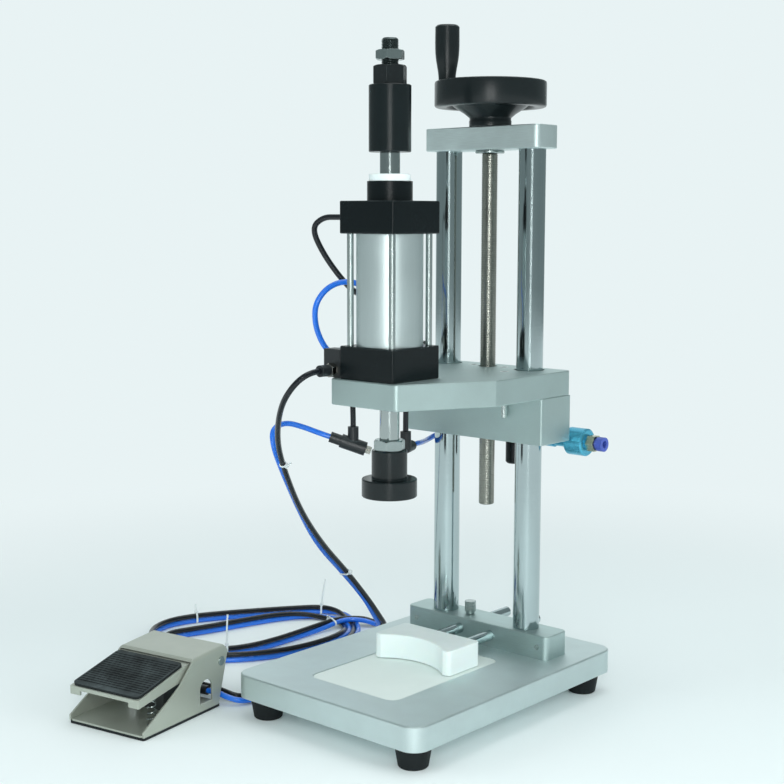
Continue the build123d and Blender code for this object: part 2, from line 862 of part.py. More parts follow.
# Anodised barrel between the caps
with BuildPart() as cylinder_barrel:
    with BuildSketch(Plane.XY.offset(barrel_bottom)):
        with Locations((0, cylinder_y)):
            Circle(barrel_bore + barrel_wall)
            Circle(barrel_bore, mode=Mode.SUBTRACT)
    extrude(amount=barrel_length)
finish(cylinder_barrel, "cylinder_barrel")

# Four tie rods with a nut sunk in each cap
with BuildPart() as tie_rods:
    with BuildSketch(Plane.XY.offset(plate_top + tie_nut_margin)):
        with Locations((0, cylinder_y)):
            with GridLocations(2 * tie_rod_offset, 2 * tie_rod_offset, 2, 2):
                Circle(tie_rod_radius)
    extrude(amount=cylinder_top - plate_top - 2 * tie_nut_margin)
    for nut_bottom in (plate_top + tie_nut_margin, cylinder_top - tie_nut_margin - tie_nut_height):
        with BuildSketch(Plane.XY.offset(nut_bottom)):
            with Locations((0, cylinder_y)):
                with GridLocations(2 * tie_rod_offset, 2 * tie_rod_offset, 2, 2):
                    RegularPolygon(tie_nut_radius, 6)
        extrude(amount=tie_nut_height)
finish(tie_rods, "tie_rods")

# White bumper ring on the neck, which the stop sleeve lands on
with BuildPart() as bumper_ring:
    with BuildSketch(Plane.XY.offset(neck_top)):
        with Locations((0, cylinder_y)):
            Circle(bumper_radius)
            Circle(piston_rod_radius + gap, mode=Mode.SUBTRACT)
    extrude(amount=bumper_height)
    chamfer(bumper_ring.faces().sort_by(Axis.Z)[-1].edges(), block_edge)
finish(bumper_ring, "bumper_ring")

# Piston with two seal grooves, at the top of its travel
piston_bottom = barrel_top - piston_top_gap - piston_height
with BuildPart() as piston:
    with BuildSketch(Plane.XY.offset(piston_bottom)):
        with Locations((0, cylinder_y)):
            Circle(barrel_bore - running)
            Circle(piston_rod_radius, mode=Mode.SUBTRACT)
    extrude(amount=piston_height)
    for level in groove_levels:
        with BuildSketch(Plane.XY.offset(piston_bottom + level * piston_height - groove_height / 2)):
            with Locations((0, cylinder_y)):
                Circle(barrel_bore)
                Circle(barrel_bore - groove_depth, mode=Mode.SUBTRACT)
        extrude(amount=groove_height, mode=Mode.SUBTRACT)
finish(piston, "piston")

# Through rod: threaded at the top for the stop sleeve and nuts, and at the foot for the head
with BuildPart() as piston_rod:
    with BuildSketch(Plane.XY.offset(head_nut_top)):
        with Locations((0, cylinder_y)):
            Circle(piston_rod_radius)
    extrude(amount=sleeve_bottom - head_nut_top)
    with BuildSketch(Plane.XY.offset(head_nut_top)):
        with Locations((0, cylinder_y)):
            Circle(piston_rod_radius)
            Rectangle(2 * piston_rod_radius, rod_flat_width, mode=Mode.SUBTRACT)
    extrude(amount=rod_flat_height, mode=Mode.SUBTRACT)
    with BuildSketch(Plane.XY.offset(sleeve_bottom)):
        with Locations((0, cylinder_y)):
            Circle(upper_thread_radius)
    extrude(amount=rod_top - sleeve_bottom)
    chamfer(piston_rod.faces().sort_by(Axis.Z)[-1].edges(), screw_chamfer)
    with BuildSketch(Plane.XY.offset(head_top - head_thread_depth)):
        with Locations((0, cylinder_y)):
            Circle(lower_thread_radius)
    extrude(amount=head_nut_top - head_top + head_thread_depth)
finish(piston_rod, "piston_rod")

# Stop sleeve on the rod's upper thread, which sets how far the press goes down
with BuildPart() as stop_sleeve:
    with BuildSketch(Plane.XY.offset(sleeve_bottom)):
        with Locations((0, cylinder_y)):
            Circle(stop_sleeve_radius)
            Circle(upper_thread_radius, mode=Mode.SUBTRACT)
    extrude(amount=stop_sleeve_height)
    chamfer(stop_sleeve.edges().filter_by(GeomType.CIRCLE).sort_by(SortBy.RADIUS)[-2:], block_edge)
finish(stop_sleeve, "stop_sleeve")


def nut(bottom, height, flats, bore):
    """Hexagon nut with its corners turned off at both faces."""
    with BuildPart() as hexagon:
        with BuildSketch(Plane.XY.offset(bottom)):
            with Locations((0, cylinder_y)):
                RegularPolygon(flats / sqrt(3), 6)
                Circle(bore, mode=Mode.SUBTRACT)
        extrude(amount=height)
        with BuildSketch(Plane.XZ.offset(-cylinder_y)):
            with BuildLine():
                Polyline(
                    (0, bottom),
                    (flats / 2, bottom),
                    (flats / 2 + nut_crown, bottom + nut_crown * tan(radians(30))),
                    (flats / 2 + nut_crown, bottom + height - nut_crown * tan(radians(30))),
                    (flats / 2, bottom + height),
                    (0, bottom + height),
                    close=True,
                )
            make_face()
        revolve(axis=Axis((0, cylinder_y, 0), (0, 0, 1)), mode=Mode.INTERSECT)
    return hexagon


# Black nut on the stop sleeve, turned to set the stroke
with BuildPart() as adjusting_nut:
    add(nut(sleeve_top, adjusting_nut_height, adjusting_nut_width, upper_thread_radius))
finish(adjusting_nut, "adjusting_nut")

# Thin steel lock nuts: one on the upper thread and one above the press head
with BuildPart() as lock_nuts:
    add(nut(thin_nut_bottom, thin_nut_height, thin_nut_width, upper_thread_radius))
    add(nut(head_top, head_nut_height, head_nut_width, lower_thread_radius))
finish(lock_nuts, "lock_nuts")

# Press head that pushes the cap on
with BuildPart() as press_head:
    with BuildSketch(Plane.XY.offset(head_bottom)):
        with Locations((0, cylinder_y)):
            Circle(head_flange_radius)
    extrude(amount=head_flange_height)
    fillet(press_head.faces().sort_by(Axis.Z)[-1].edges(), head_edge)
    chamfer(press_head.faces().sort_by(Axis.Z)[0].edges(), block_edge)
    with BuildSketch(Plane.XY.offset(head_bottom + head_flange_height)):
        with Locations((0, cylinder_y)):
            Circle(head_neck_radius)
    extrude(amount=head_height - head_flange_height)
    chamfer(press_head.faces().sort_by(Axis.Z)[-1].edges(), block_edge)
    with BuildSketch(Plane.XY.offset(head_top - head_thread_depth)):
        with Locations((0, cylinder_y)):
            Circle(lower_thread_radius)
    extrude(amount=head_thread_depth, mode=Mode.SUBTRACT)
finish(press_head, "press_head")

# Pilot valve: aluminium body between two black end caps, beside the cylinder on the plate
with BuildPart() as valve_body:
    with BuildSketch(Plane.XZ.offset(-(valve_front + valve_cap_length))):
        with Locations((valve_x, plate_top + valve_height / 2)):
            RectangleRounded(valve_width - 1, valve_height - 1, valve_edge)
    extrude(amount=-(valve_length - 2 * valve_cap_length))
finish(valve_body, "valve_body")

with BuildPart() as valve_end_caps:
    for cap_front in (valve_front, valve_back - valve_cap_length):
        with BuildSketch(Plane.XZ.offset(-cap_front)):
            with Locations((valve_x, plate_top + valve_height / 2)):
                RectangleRounded(valve_width, valve_height, valve_edge)
        extrude(amount=-valve_cap_length)
finish(valve_end_caps, "valve_end_caps")

# Push-in fittings on the carriage: a nickel hexagon screwed into its port, then a black collar
# Each is given by the middle of its seat and the way it points
left, right, front, rear, up, down = (-1, 0, 0), (1, 0, 0), (0, -1, 0), (0, 1, 0), (0, 0, 1), (0, 0, -1)
port_z = plate_top + valve_height * side_port_level
pilot_port = (pilot_port_x, valve_front, pilot_port_z)
loop_port = (valve_left, loop_port_y, port_z)
supply_port = (valve_left, supply_port_y, port_z)
top_port = (valve_x, top_port_y, valve_top)
cap_port = (-cap_size / 2, cylinder_y, barrel_top + top_cap_height / 2)
straight_ports = [(pilot_port, front), (loop_port, left), (supply_port, left), (top_port, up), (cap_port, left)]
fitting_length = fitting_hex_length + fitting_collar_length


def ahead(place, way, distance):
    """The point a distance ahead of a place, along a direction."""
    return tuple(place[i] + way[i] * distance for i in range(3))


# Elbow on the valve's rear cap that turns down to the hole in the plate,
# and elbow on the rear face of the bottom cap that turns up
rear_elbow_seat = (valve_x, valve_back, return_port_z)
rear_elbow_turn = (valve_x, return_drop_y, return_port_z)
cap_elbow_seat = (0, cylinder_y + cap_size / 2, barrel_bottom - bottom_cap_height / 2)
cap_elbow_turn = ahead(cap_elbow_seat, rear, elbow_reach)
elbows = [(rear_elbow_seat, rear_elbow_turn, down), (cap_elbow_seat, cap_elbow_turn, up)]

with BuildPart() as fitting_hexes:
    for seat, way in straight_ports:
        with BuildSketch(Plane(seat, z_dir=way)):
            RegularPolygon(fitting_hex / sqrt(3), 6)
        extrude(amount=fitting_hex_length)
    for seat, turn, way in elbows:
        with BuildSketch(Plane(seat, z_dir=rear)):
            Circle(elbow_body_radius)
        extrude(amount=abs(turn[1] - seat[1]))
        with BuildSketch(Plane(turn, z_dir=way)):
            Circle(elbow_body_radius)
        extrude(amount=elbow_leg)
        with Locations(turn):
            Sphere(elbow_body_radius)
finish(fitting_hexes, "fitting_hexes")

with BuildPart() as fitting_collars:
    for seat, way in straight_ports:
        with BuildSketch(Plane(ahead(seat, way, fitting_hex_length), z_dir=way)):
            Circle(fitting_collar_radius)
        extrude(amount=fitting_collar_length)
    for seat, turn, way in elbows:
        with BuildSketch(Plane(ahead(turn, way, elbow_leg), z_dir=way)):
            Circle(fitting_collar_radius)
        extrude(amount=elbow_collar_length)
finish(fitting_collars, "fitting_collars")

# Flow control in the pedal's supply line: black body that hangs on its two hoses,
# with one collar along the body, one on top and a needle at its other end.
# Elbow behind the rod, between the inlet hose and the hose that rises to the valve
flow_way = (
    cos(radians(flow_yaw)) * cos(radians(flow_dip)),
    sin(radians(flow_yaw)) * cos(radians(flow_dip)),
    -sin(radians(flow_dip)),
)
flow_back = tuple(-part for part in flow_way)
flow_place = (flow_x, flow_y, flow_z)
flow_end = ahead(flow_place, flow_way, flow_body_length / 2)
flow_start = ahead(flow_place, flow_back, flow_body_length / 2)
flow_top = ahead(flow_place, up, flow_body_radius + fitting_collar_length)
elbow_place = (elbow_x, elbow_y, elbow_z)
elbow_back = (cos(radians(elbow_yaw)), sin(radians(elbow_yaw)), 0)
with BuildPart() as hose_joints:
    with BuildSketch(Plane(flow_start, z_dir=flow_way)):
        Circle(flow_body_radius)
    extrude(amount=flow_body_length)
    with BuildSketch(Plane(flow_start, z_dir=flow_back)):
        Circle(fitting_collar_radius)
    extrude(amount=fitting_collar_length)
    with BuildSketch(Plane(flow_place, z_dir=up)):
        Circle(fitting_collar_radius)
    extrude(amount=flow_body_radius + fitting_collar_length)
    for way in (up, elbow_back):
        with BuildSketch(Plane(elbow_place, z_dir=way)):
            Circle(elbow_body_radius)
        extrude(amount=elbow_leg)
        with BuildSketch(Plane(ahead(elbow_place, way, elbow_leg), z_dir=way)):
            Circle(fitting_collar_radius)
        extrude(amount=elbow_collar_length)
    with Locations(elbow_place):
        Sphere(elbow_body_radius)
finish(hose_joints, "hose_joints")

# Knurled needle of the flow control
with BuildPart() as flow_needle:
    with BuildSketch(Plane(ahead(flow_end, flow_way, gap), z_dir=flow_way)):
        Circle(needle_radius)
        with PolarLocations(needle_radius, needle_knurls):
            Circle(needle_knurl_radius, mode=Mode.SUBTRACT)
    extrude(amount=needle_length)
finish(flow_needle, "flow_needle")

# Inlet manifold with a small filter bowl, bolted to the rear of the carriage block
with BuildPart() as inlet_manifold:
    with BuildSketch(Plane.YZ.offset(manifold_left)):
        with Locations(((carriage_back + inlet_y + manifold_depth / 2) / 2, inlet_z + manifold_rise)):
            RectangleRounded(inlet_y + manifold_depth / 2 - carriage_back, manifold_height, valve_edge)
    extrude(amount=manifold_right - manifold_left)
    with BuildSketch(Plane.XY.offset(bowl_bottom)):
        with Locations((bowl_x, inlet_y)):
            Circle(bowl_radius)
    extrude(amount=inlet_z - bowl_bottom)
    chamfer(inlet_manifold.faces().sort_by(Axis.Z)[0].edges(), bowl_chamfer)
    with BuildSketch(Plane.YZ.offset(manifold_left)):
        with Locations((inlet_y, inlet_z + manifold_rise)):
            Circle(fitting_collar_radius)
    extrude(amount=-fitting_collar_length)
finish(inlet_manifold, "inlet_manifold")

# Hand slide valve: tube with a shoulder at its left end and the air hose's bore in its right end
slide_tube_end = manifold_right + slide_tube_length
with BuildPart() as slide_valve:
    with BuildSketch(Plane.YZ.offset(manifold_right)):
        with Locations((inlet_y, inlet_z)):
            Circle(slide_tube_radius)
    extrude(amount=slide_tube_length)
    with BuildSketch(Plane.YZ.offset(manifold_right)):
        with Locations((inlet_y, inlet_z)):
            Circle(slide_shoulder_radius)
    extrude(amount=slide_shoulder_length)
    with BuildSketch(Plane.YZ.offset(slide_tube_end)):
        with Locations((inlet_y, inlet_z)):
            Circle(inlet_bore)
    extrude(amount=-inlet_bore_depth, mode=Mode.SUBTRACT)
finish(slide_valve, "slide_valve")

# Blue knurled sleeve that slides along the tube to shut the air off
with BuildPart() as slide_sleeve:
    with BuildSketch(Plane.YZ.offset(slide_sleeve_start)):
        with Locations((inlet_y, inlet_z)):
            Circle(slide_sleeve_radius)
            Circle(slide_tube_radius + running, mode=Mode.SUBTRACT)
    extrude(amount=slide_sleeve_length)
    chamfer(slide_sleeve.edges().filter_by(GeomType.CIRCLE).sort_by(SortBy.RADIUS)[-2:], slide_sleeve_chamfer)
finish(slide_sleeve, "slide_sleeve")

# Brass push-in fitting with an open bore for the customer's air hose
with BuildPart() as inlet_fitting:
    with BuildSketch(Plane.YZ.offset(slide_tube_end)):
        with Locations((inlet_y, inlet_z)):
            RegularPolygon(inlet_hex / sqrt(3), 6)
    extrude(amount=inlet_hex_length)
    with BuildSketch(Plane.YZ.offset(slide_tube_end)):
        with Locations((inlet_y, inlet_z)):
            Circle(inlet_bore)
    extrude(amount=inlet_hex_length, mode=Mode.SUBTRACT)
    with BuildSketch(Plane.YZ.offset(slide_tube_end + inlet_hex_length)):
        with Locations((inlet_y, inlet_z)):
            Circle(release_stem_radius + running)
    extrude(amount=-(release_stem_reach + release_travel + gap), mode=Mode.SUBTRACT)
finish(inlet_fitting, "inlet_fitting")

# Blue release ring, pressed in to let the hose go
with BuildPart() as release_ring:
    with BuildSketch(Plane.YZ.offset(slide_tube_end + inlet_hex_length + release_gap)):
        with Locations((inlet_y, inlet_z)):
            Circle(release_radius)
            Circle(inlet_bore, mode=Mode.SUBTRACT)
    extrude(amount=release_length)
    with BuildSketch(Plane.YZ.offset(slide_tube_end + inlet_hex_length - release_stem_reach)):
        with Locations((inlet_y, inlet_z)):
            Circle(release_stem_radius)
            Circle(inlet_bore, mode=Mode.SUBTRACT)
    extrude(amount=release_stem_reach + release_gap)
finish(release_ring, "release_ring")

# Foot pedal, drawn in its own frame: turned on the floor, x across it and y towards its rear
pedal_across = (cos(radians(pedal_turn)), sin(radians(pedal_turn)), 0)
pedal_along = (-sin(radians(pedal_turn)), cos(radians(pedal_turn)), 0)


def pedal_point(x, y, z):
    """A point of the pedal's frame in the frame of the whole press."""
    return (
        pedal_x + x * pedal_across[0] + y * pedal_along[0],
        pedal_y + x * pedal_across[1] + y * pedal_along[1],
        z,
    )


def pedal_floor(height):
    """Horizontal plane of the pedal at a height."""
    return Plane(pedal_point(0, 0, height), x_dir=pedal_across, z_dir=(0, 0, 1))


def pedal_side(x):
    """Upright plane across the pedal at x, with y to the rear as its first axis and z as its second."""
    return Plane(pedal_point(x, 0, 0), x_dir=pedal_along, z_dir=pedal_across)


pedal_depth = pedal_back - pedal_front
pedal_middle = (pedal_front + pedal_back) / 2
pedal_half = pedal_width / 2
base_sheet_top = mat_thick + sheet

# Rubber mat under the pedal
with BuildPart() as pedal_mat:
    with BuildSketch(pedal_floor(0)):
        with Locations((0, pedal_middle)):
            RectangleRounded(pedal_width, pedal_depth, mat_corner)
    extrude(amount=mat_thick)
finish(pedal_mat, "pedal_mat")

# Steel base sheet of the pedal, between the cheeks
with BuildPart() as pedal_base:
    with BuildSketch(pedal_floor(mat_thick)):
        with Locations((0, pedal_middle)):
            RectangleRounded(pedal_width - 2 * sheet - 2 * gap, pedal_depth, mat_corner)
    extrude(amount=sheet)
finish(pedal_base, "pedal_base")

# Housing: two side cheeks and a top bent from one sheet, with an arched hole in each cheek
cheek = [
    (pedal_front, mat_thick),
    (housing_back_low, mat_thick),
    (housing_back_high, housing_height - housing_back_drop),
    (housing_back_high - housing_back_cut, housing_height),
    (housing_top_front, housing_height - housing_slope),
    (cheek_knee_y, cheek_knee_z),
    (pedal_front, mat_thick + cheek_front_height),
]
with BuildPart() as pedal_housing:
    with BuildSketch(pedal_side(-pedal_half)):
        with BuildLine():
            Polyline(*cheek, close=True)
        make_face()
    extrude(amount=pedal_width)
    top_sides = pedal_housing.edges().filter_by(lambda e: e.center().Z > housing_height - housing_slope)
    long_sides = top_sides.filter_by(lambda e: abs(abs(pedal_side(0).to_local_coords(e.center()).Z) - pedal_half) < 1)
    fillet(long_sides, housing_bend)
    inner = [
        (pedal_front - sheet, 0),
        (housing_back_high + sheet, 0),
        (housing_back_high + sheet, housing_height - housing_back_drop),
        (housing_back_high - housing_back_cut, housing_height - sheet),
        (housing_top_front, housing_height - housing_slope - sheet),
        (housing_top_front - 3 * sheet, housing_height - housing_slope - 2 * sheet),
        (housing_top_front - 3 * sheet, housing_height),
        (pedal_front - sheet, housing_height),
    ]
    with BuildSketch(pedal_side(-pedal_half + sheet)):
        with BuildLine():
            Polyline(*inner, close=True)
        make_face()
    extrude(amount=pedal_width - 2 * sheet, mode=Mode.SUBTRACT)
    with BuildSketch(pedal_side(-pedal_half)):
        with Locations((arch_start + arch_width / 2, arch_bottom + (arch_height - arch_width / 2) / 2)):
            Rectangle(arch_width, arch_height - arch_width / 2)
        with Locations((arch_start + arch_width / 2, arch_bottom + arch_height - arch_width / 2)):
            Circle(arch_width / 2)
        with Locations((pedal_pin_y, pedal_pin_z)):
            Circle(pedal_pin_radius)
    extrude(amount=pedal_width, mode=Mode.SUBTRACT)
finish(pedal_housing, "pedal_housing")

# Pivot pin of the pedal plate, riveted in both cheeks
with BuildPart() as pedal_pin:
    with BuildSketch(pedal_side(-pedal_half)):
        with Locations((pedal_pin_y, pedal_pin_z)):
            Circle(pedal_pin_radius)
    extrude(amount=pedal_width)
    for side, way in ((-pedal_half, -1), (pedal_half, 1)):
        with BuildSketch(pedal_side(side)):
            with Locations((pedal_pin_y, pedal_pin_z)):
                Circle(pedal_rivet_radius)
        extrude(amount=way * pedal_rivet_height)
finish(pedal_pin, "pedal_pin")

# Pedal plate: a channel that turns on the pin, with a folded lip at its front
plate_rear_z = housing_height - housing_slope - sheet - housing_gap
plate_slope = (plate_rear_z - plate_tip_z) / (plate_rear_top - plate_tip_y)


def plate_z(y):
    """Height of the pedal plate's top at y."""
    return plate_tip_z + plate_slope * (y - plate_tip_y)


plate_rear = pedal_pin_y + plate_pin_margin
flange_profile = [
    (plate_tip_y, plate_tip_z),
    (plate_rear_top, plate_rear_z),
    (plate_rear, plate_rear_z),
    (plate_rear, pedal_pin_z - plate_pin_margin),
    (flange_knee_y, plate_z(flange_knee_y) - flange_knee_depth),
    (plate_tip_y, plate_tip_z - plate_flange),
]
with BuildPart() as pedal_plate:
    with BuildSketch(pedal_side(-pedal_plate_width / 2)):
        with BuildLine():
            Polyline(*flange_profile, close=True)
        make_face()
    extrude(amount=pedal_plate_width)
    with BuildSketch(pedal_side(-pedal_plate_width / 2 + sheet)):
        with BuildLine():
            Polyline(
                (plate_tip_y + sheet, plate_tip_z - sheet),
                (plate_rear_top, plate_rear_z - sheet),
                (plate_rear + sheet, plate_rear_z - sheet),
                (plate_rear + sheet, 0),
                (plate_tip_y + sheet, 0),
                close=True,
            )
        make_face()
    extrude(amount=pedal_plate_width - 2 * sheet, mode=Mode.SUBTRACT)
    with BuildSketch(pedal_side(-pedal_plate_width / 2)):
        with Locations((pedal_pin_y, pedal_pin_z)):
            Circle(pedal_pin_radius + running)
    extrude(amount=pedal_plate_width, mode=Mode.SUBTRACT)
    with BuildSketch(pedal_floor(0)):
        with Locations((0, plate_tip_y)):
            Rectangle(pedal_plate_width - 2 * lip_notch, 2 * sheet + 2 * gap)
    extrude(amount=plate_tip_z - lip_height, mode=Mode.SUBTRACT)
finish(pedal_plate, "pedal_plate")

# Ribbed rubber pad glued on the pedal plate
rubber_front = plate_tip_y + pad_inset
plate_tilt = degrees(atan(plate_slope))
rubber_back = plate_rear_top - rubber_back_margin
with BuildPart() as pedal_pad:
    pad_plane = Plane(
        pedal_point(0, plate_tip_y, plate_tip_z),
        x_dir=pedal_across,
        z_dir=Vector(0, 0, 1).rotate(Axis((0, 0, 0), pedal_across), plate_tilt),
    )
    rubber_length = (rubber_back - rubber_front) / cos(radians(plate_tilt))
    with BuildSketch(pad_plane):
        with Locations((0, rubber_length / 2 + pad_inset)):
            RectangleRounded(pedal_plate_width - 2 * pad_inset, rubber_length, rubber_corner)
    extrude(amount=rubber_thick)
    with BuildSketch(pad_plane.offset(rubber_thick - rib_depth)):
        with Locations((0, rubber_length / 2 + pad_inset)):
            with GridLocations(0, rib_pitch, 1, int((rubber_length - 2 * rib_pitch) / rib_pitch)):
                Rectangle(pedal_plate_width - 2 * pad_inset - rib_margin, rib_pitch - rib_width)
    extrude(amount=rib_depth, mode=Mode.SUBTRACT)
finish(pedal_pad, "pedal_pad")

# Foot valve inside the housing, with two ports at its rear
valve_floor = base_sheet_top
valve_port_z = valve_floor + elbow_body_radius
with BuildPart() as foot_valve:
    with BuildSketch(pedal_floor(valve_floor)):
        with Locations((0, (foot_valve_front + foot_valve_back) / 2)):
            RectangleRounded(foot_valve_width, foot_valve_back - foot_valve_front, valve_edge)
    extrude(amount=foot_valve_height)
    with BuildSketch(pedal_floor(valve_floor + foot_valve_height - plunger_depth)):
        with Locations((0, plunger_y)):
            Circle(plunger_radius + running)
    extrude(amount=plunger_depth, mode=Mode.SUBTRACT)
finish(foot_valve, "foot_valve")

# Plunger of the foot valve, pushed down by the pedal plate
plunger_bottom = valve_floor + foot_valve_height - plunger_depth + pedal_travel + gap
plunger_top = min(plate_rear_z, plate_z(plunger_y)) - sheet - plunger_slack
with BuildPart() as foot_plunger:
    with BuildSketch(pedal_floor(plunger_bottom)):
        with Locations((0, plunger_y)):
            Circle(plunger_radius)
    extrude(amount=plunger_top - plunger_bottom)
    fillet(foot_plunger.faces().sort_by(Axis.Z)[-1].edges(), plunger_dome)
finish(foot_plunger, "foot_plunger")

# Two fittings at the rear of the foot valve, each an elbow that turns to the right
pedal_ports = [(-port_spread / 2, valve_port_z), (port_spread / 2, valve_port_z)]
with BuildPart() as pedal_fittings:
    for index, (port_x, port_height) in enumerate(pedal_ports):
        reach = port_reach + (1 - index) * port_step
        with BuildSketch(Plane(pedal_point(port_x, foot_valve_back, port_height), z_dir=pedal_along)):
            Circle(pedal_elbow_radius)
        extrude(amount=reach)
        turn = pedal_point(port_x, foot_valve_back + reach, port_height)
        with Locations(turn):
            Sphere(pedal_elbow_radius)
        with BuildSketch(Plane(turn, z_dir=pedal_across)):
            Circle(pedal_collar_radius)
        extrude(amount=elbow_leg + elbow_collar_length)
finish(pedal_fittings, "pedal_fittings")

# Return spring between the base sheet and the pedal plate
spring_height = plate_z(spring_y - spring_radius) - sheet - base_sheet_top - 3 * gap
with BuildPart() as pedal_spring:
    with BuildSketch(pedal_floor(base_sheet_top + gap)):
        with Locations((spring_x, spring_y)):
            Circle(spring_radius)
            Circle(spring_radius - 2 * spring_wire, mode=Mode.SUBTRACT)
    extrude(amount=spring_height)
finish(pedal_spring, "pedal_spring")


# Hoses: straight runs joined by arcs, each arc as large as its two runs allow
def corner_radii(points):
    """Radius at each corner: 0.45 of the shorter run over the tangent of half the turn."""
    vectors = [Vector(*point) for point in points]
    radii = []
    for before, corner, after in zip(vectors, vectors[1:], vectors[2:]):
        turn = (corner - before).get_angle(after - corner)
        shorter = min((corner - before).length, (after - corner).length)
        radii.append(0.45 * shorter / tan(radians(turn / 2)))
    return radii


def hose(name, routes):
    """One node with a tube along each route, printed with its radii, its length and its volume."""
    with BuildPart() as tube:
        for points in routes:
            radii = corner_radii(points)
            with BuildLine() as path:
                FilletPolyline(*points, radius=radii)
            way = Vector(*points[1]) - Vector(*points[0])
            with BuildSketch(Plane(points[0], z_dir=way)):
                Circle(hose_radius)
            sweep(path=path.line)
            length = sum(edge.length for edge in path.edges())
            tight = min(radii) if radii else 0
            print(f"{name}: length {length:.0f}, radii {[round(r) for r in radii]}, tightest {tight:.0f}")
            print(f"  section by length {pi * hose_radius**2 * length:.0f}")
    print(f"  volume {tube.part.volume:.0f}")
    return finish(tube, name)


pilot_tip = ahead(pilot_port, front, fitting_length)
loop_tip = ahead(loop_port, left, fitting_length)
supply_tip = ahead(supply_port, left, fitting_length)
top_tip = ahead(top_port, up, fitting_length)
cap_tip = ahead(cap_port, left, fitting_length)
rear_elbow_tip = ahead(rear_elbow_turn, down, elbow_leg + elbow_collar_length)
cap_elbow_tip = ahead(cap_elbow_turn, up, elbow_leg + elbow_collar_length)
flow_tip = ahead(flow_start, flow_back, fitting_collar_length)
hose_elbow_up = ahead(elbow_place, up, elbow_leg + elbow_collar_length)
hose_elbow_back = ahead(elbow_place, elbow_back, elbow_leg + elbow_collar_length)
manifold_tip = (manifold_left - fitting_collar_length, inlet_y, inlet_z + manifold_rise)

# Black hose from the top cap, down behind the barrel to the valve's top port
top_hose_route = [
    cap_tip,
    ahead(cap_tip, left, hose_lead),
    (-96, -69, 540),
    (-113, -69, 528),
    (-109, -56, 501),
    (-97, -40, 473),
    (-84, -28, 455),
    (-64, -23, 455),
    ahead(top_tip, up, hose_lead),
    top_tip,
]
hose("top_hose", [top_hose_route])

# Blue hose that loops out to the left from the valve to the elbow on the bottom cap
loop_hose_route = [
    loop_tip,
    ahead(loop_tip, left, hose_lead),
    (-107, -62, 405),
    (-108, -70, 425),
    (-104, -73, 447),
    (-96, -61, 465),
    (-88, -40, 471),
    (-77, -19, 464),
    (-55, -8, 452),
    (-28, -9, 449),
    (-7, -15, 440),
    ahead(cap_elbow_tip, up, hose_lead),
    cap_elbow_tip,
]
hose("loop_hose", [loop_hose_route])

# Black hose from the flow control up past the plate's edge to the valve's supply port
supply_hose_route = [
    flow_top,
    ahead(flow_top, up, hose_lead),
    (-110, -8, 338),
    (-114, -11, 361),
    (-114, -14, 379),
    ahead(supply_tip, left, hose_lead),
    supply_tip,
]
hose("supply_hose", [supply_hose_route])

# Black hose from the elbow behind the rod up through the plate to the valve's rear cap
return_hose_route = [
    hose_elbow_up,
    ahead(hose_elbow_up, up, hose_lead),
    (-56, 23.5, 330),
    (-53, 22.3, 348),
    ahead(rear_elbow_tip, down, hose_lead),
    rear_elbow_tip,
]
hose("return_hose", [return_hose_route])

# Blue hose from the elbow, behind the left column, to the inlet manifold
inlet_hose_route = [
    hose_elbow_back,
    ahead(hose_elbow_back, elbow_back, hose_lead),
    (-77, 76, 278),
    (-88, 99, 277),
    (-92, 122, 281),
    (-80, 140, 288),
    (-57, 144, 295),
    ahead(manifold_tip, left, hose_lead),
    manifold_tip,
]
hose("inlet_hose", [inlet_hose_route])

# Black pedal line: from the valve's pilot port down to the floor coil, and from the coil to the pedal
pedal_fitting_x = elbow_leg + elbow_collar_length
black_port = pedal_point(pedal_fitting_x - port_spread / 2, foot_valve_back + port_reach + port_step, valve_port_z)
blue_port = pedal_point(port_spread / 2 + pedal_fitting_x, foot_valve_back + port_reach, valve_port_z)
black_fall = [
    pilot_tip,
    ahead(pilot_tip, front, hose_lead),
    (-61, -150, 367),
    (-88, -143, 341),
    (-126, -112, 299),
    (-150, -79, 260),
    (-182, -21, 197),
    (-203, 38, 142),
    (-213, 92, 96),
    (-216, 136, 50),
    (-216, 156, 25),
    (-219, 171, 9),
    (-231, 181, 3.6),
    (-247, 179, 5.5),
    (-260, 171, 9.6),
]
black_tail = [
    (-225, 20, 4),
    (-214, -16, 3.2),
    (-203, -50, 3.2),
    (-188, -82, 3.2),
    (-171, -108, 3.2),
    (-160, -126, 3.4),
    (-164, -141, 6),
    (-180, -146, 10),
    ahead(black_port, pedal_across, hose_lead),
    black_port,
]
hose("black_line", [black_fall, black_tail])

# Blue pedal line: from the flow control over to the black one, down beside it, and on to the pedal
blue_fall = [
    flow_tip,
    ahead(flow_tip, flow_back, hose_lead),
    (-146, -52, 304),
    (-151, -74, 311),
    (-150, -96, 306),
    (-146, -106, 286),
    (-157, -86, 258),
    (-189, -27, 196),
    (-210, 36, 141),
    (-220, 92, 94),
    (-222.5, 136, 50),
    (-222.5, 153, 25),
    (-225, 167, 9),
    (-238, 174, 4.4),
    (-254, 166, 9.2),
]
blue_tail = [
    (-217, 24, 4),
    (-207, -12, 3.2),
    (-196, -46, 3.2),
    (-181, -78, 3.2),
    (-162, -105, 3.2),
    (-148, -127, 3.4),
    (-150, -147, 5),
    (-163, -156, 9),
    ahead(blue_port, pedal_across, hose_lead),
    blue_port,
]
hose("blue_line", [blue_fall, blue_tail])

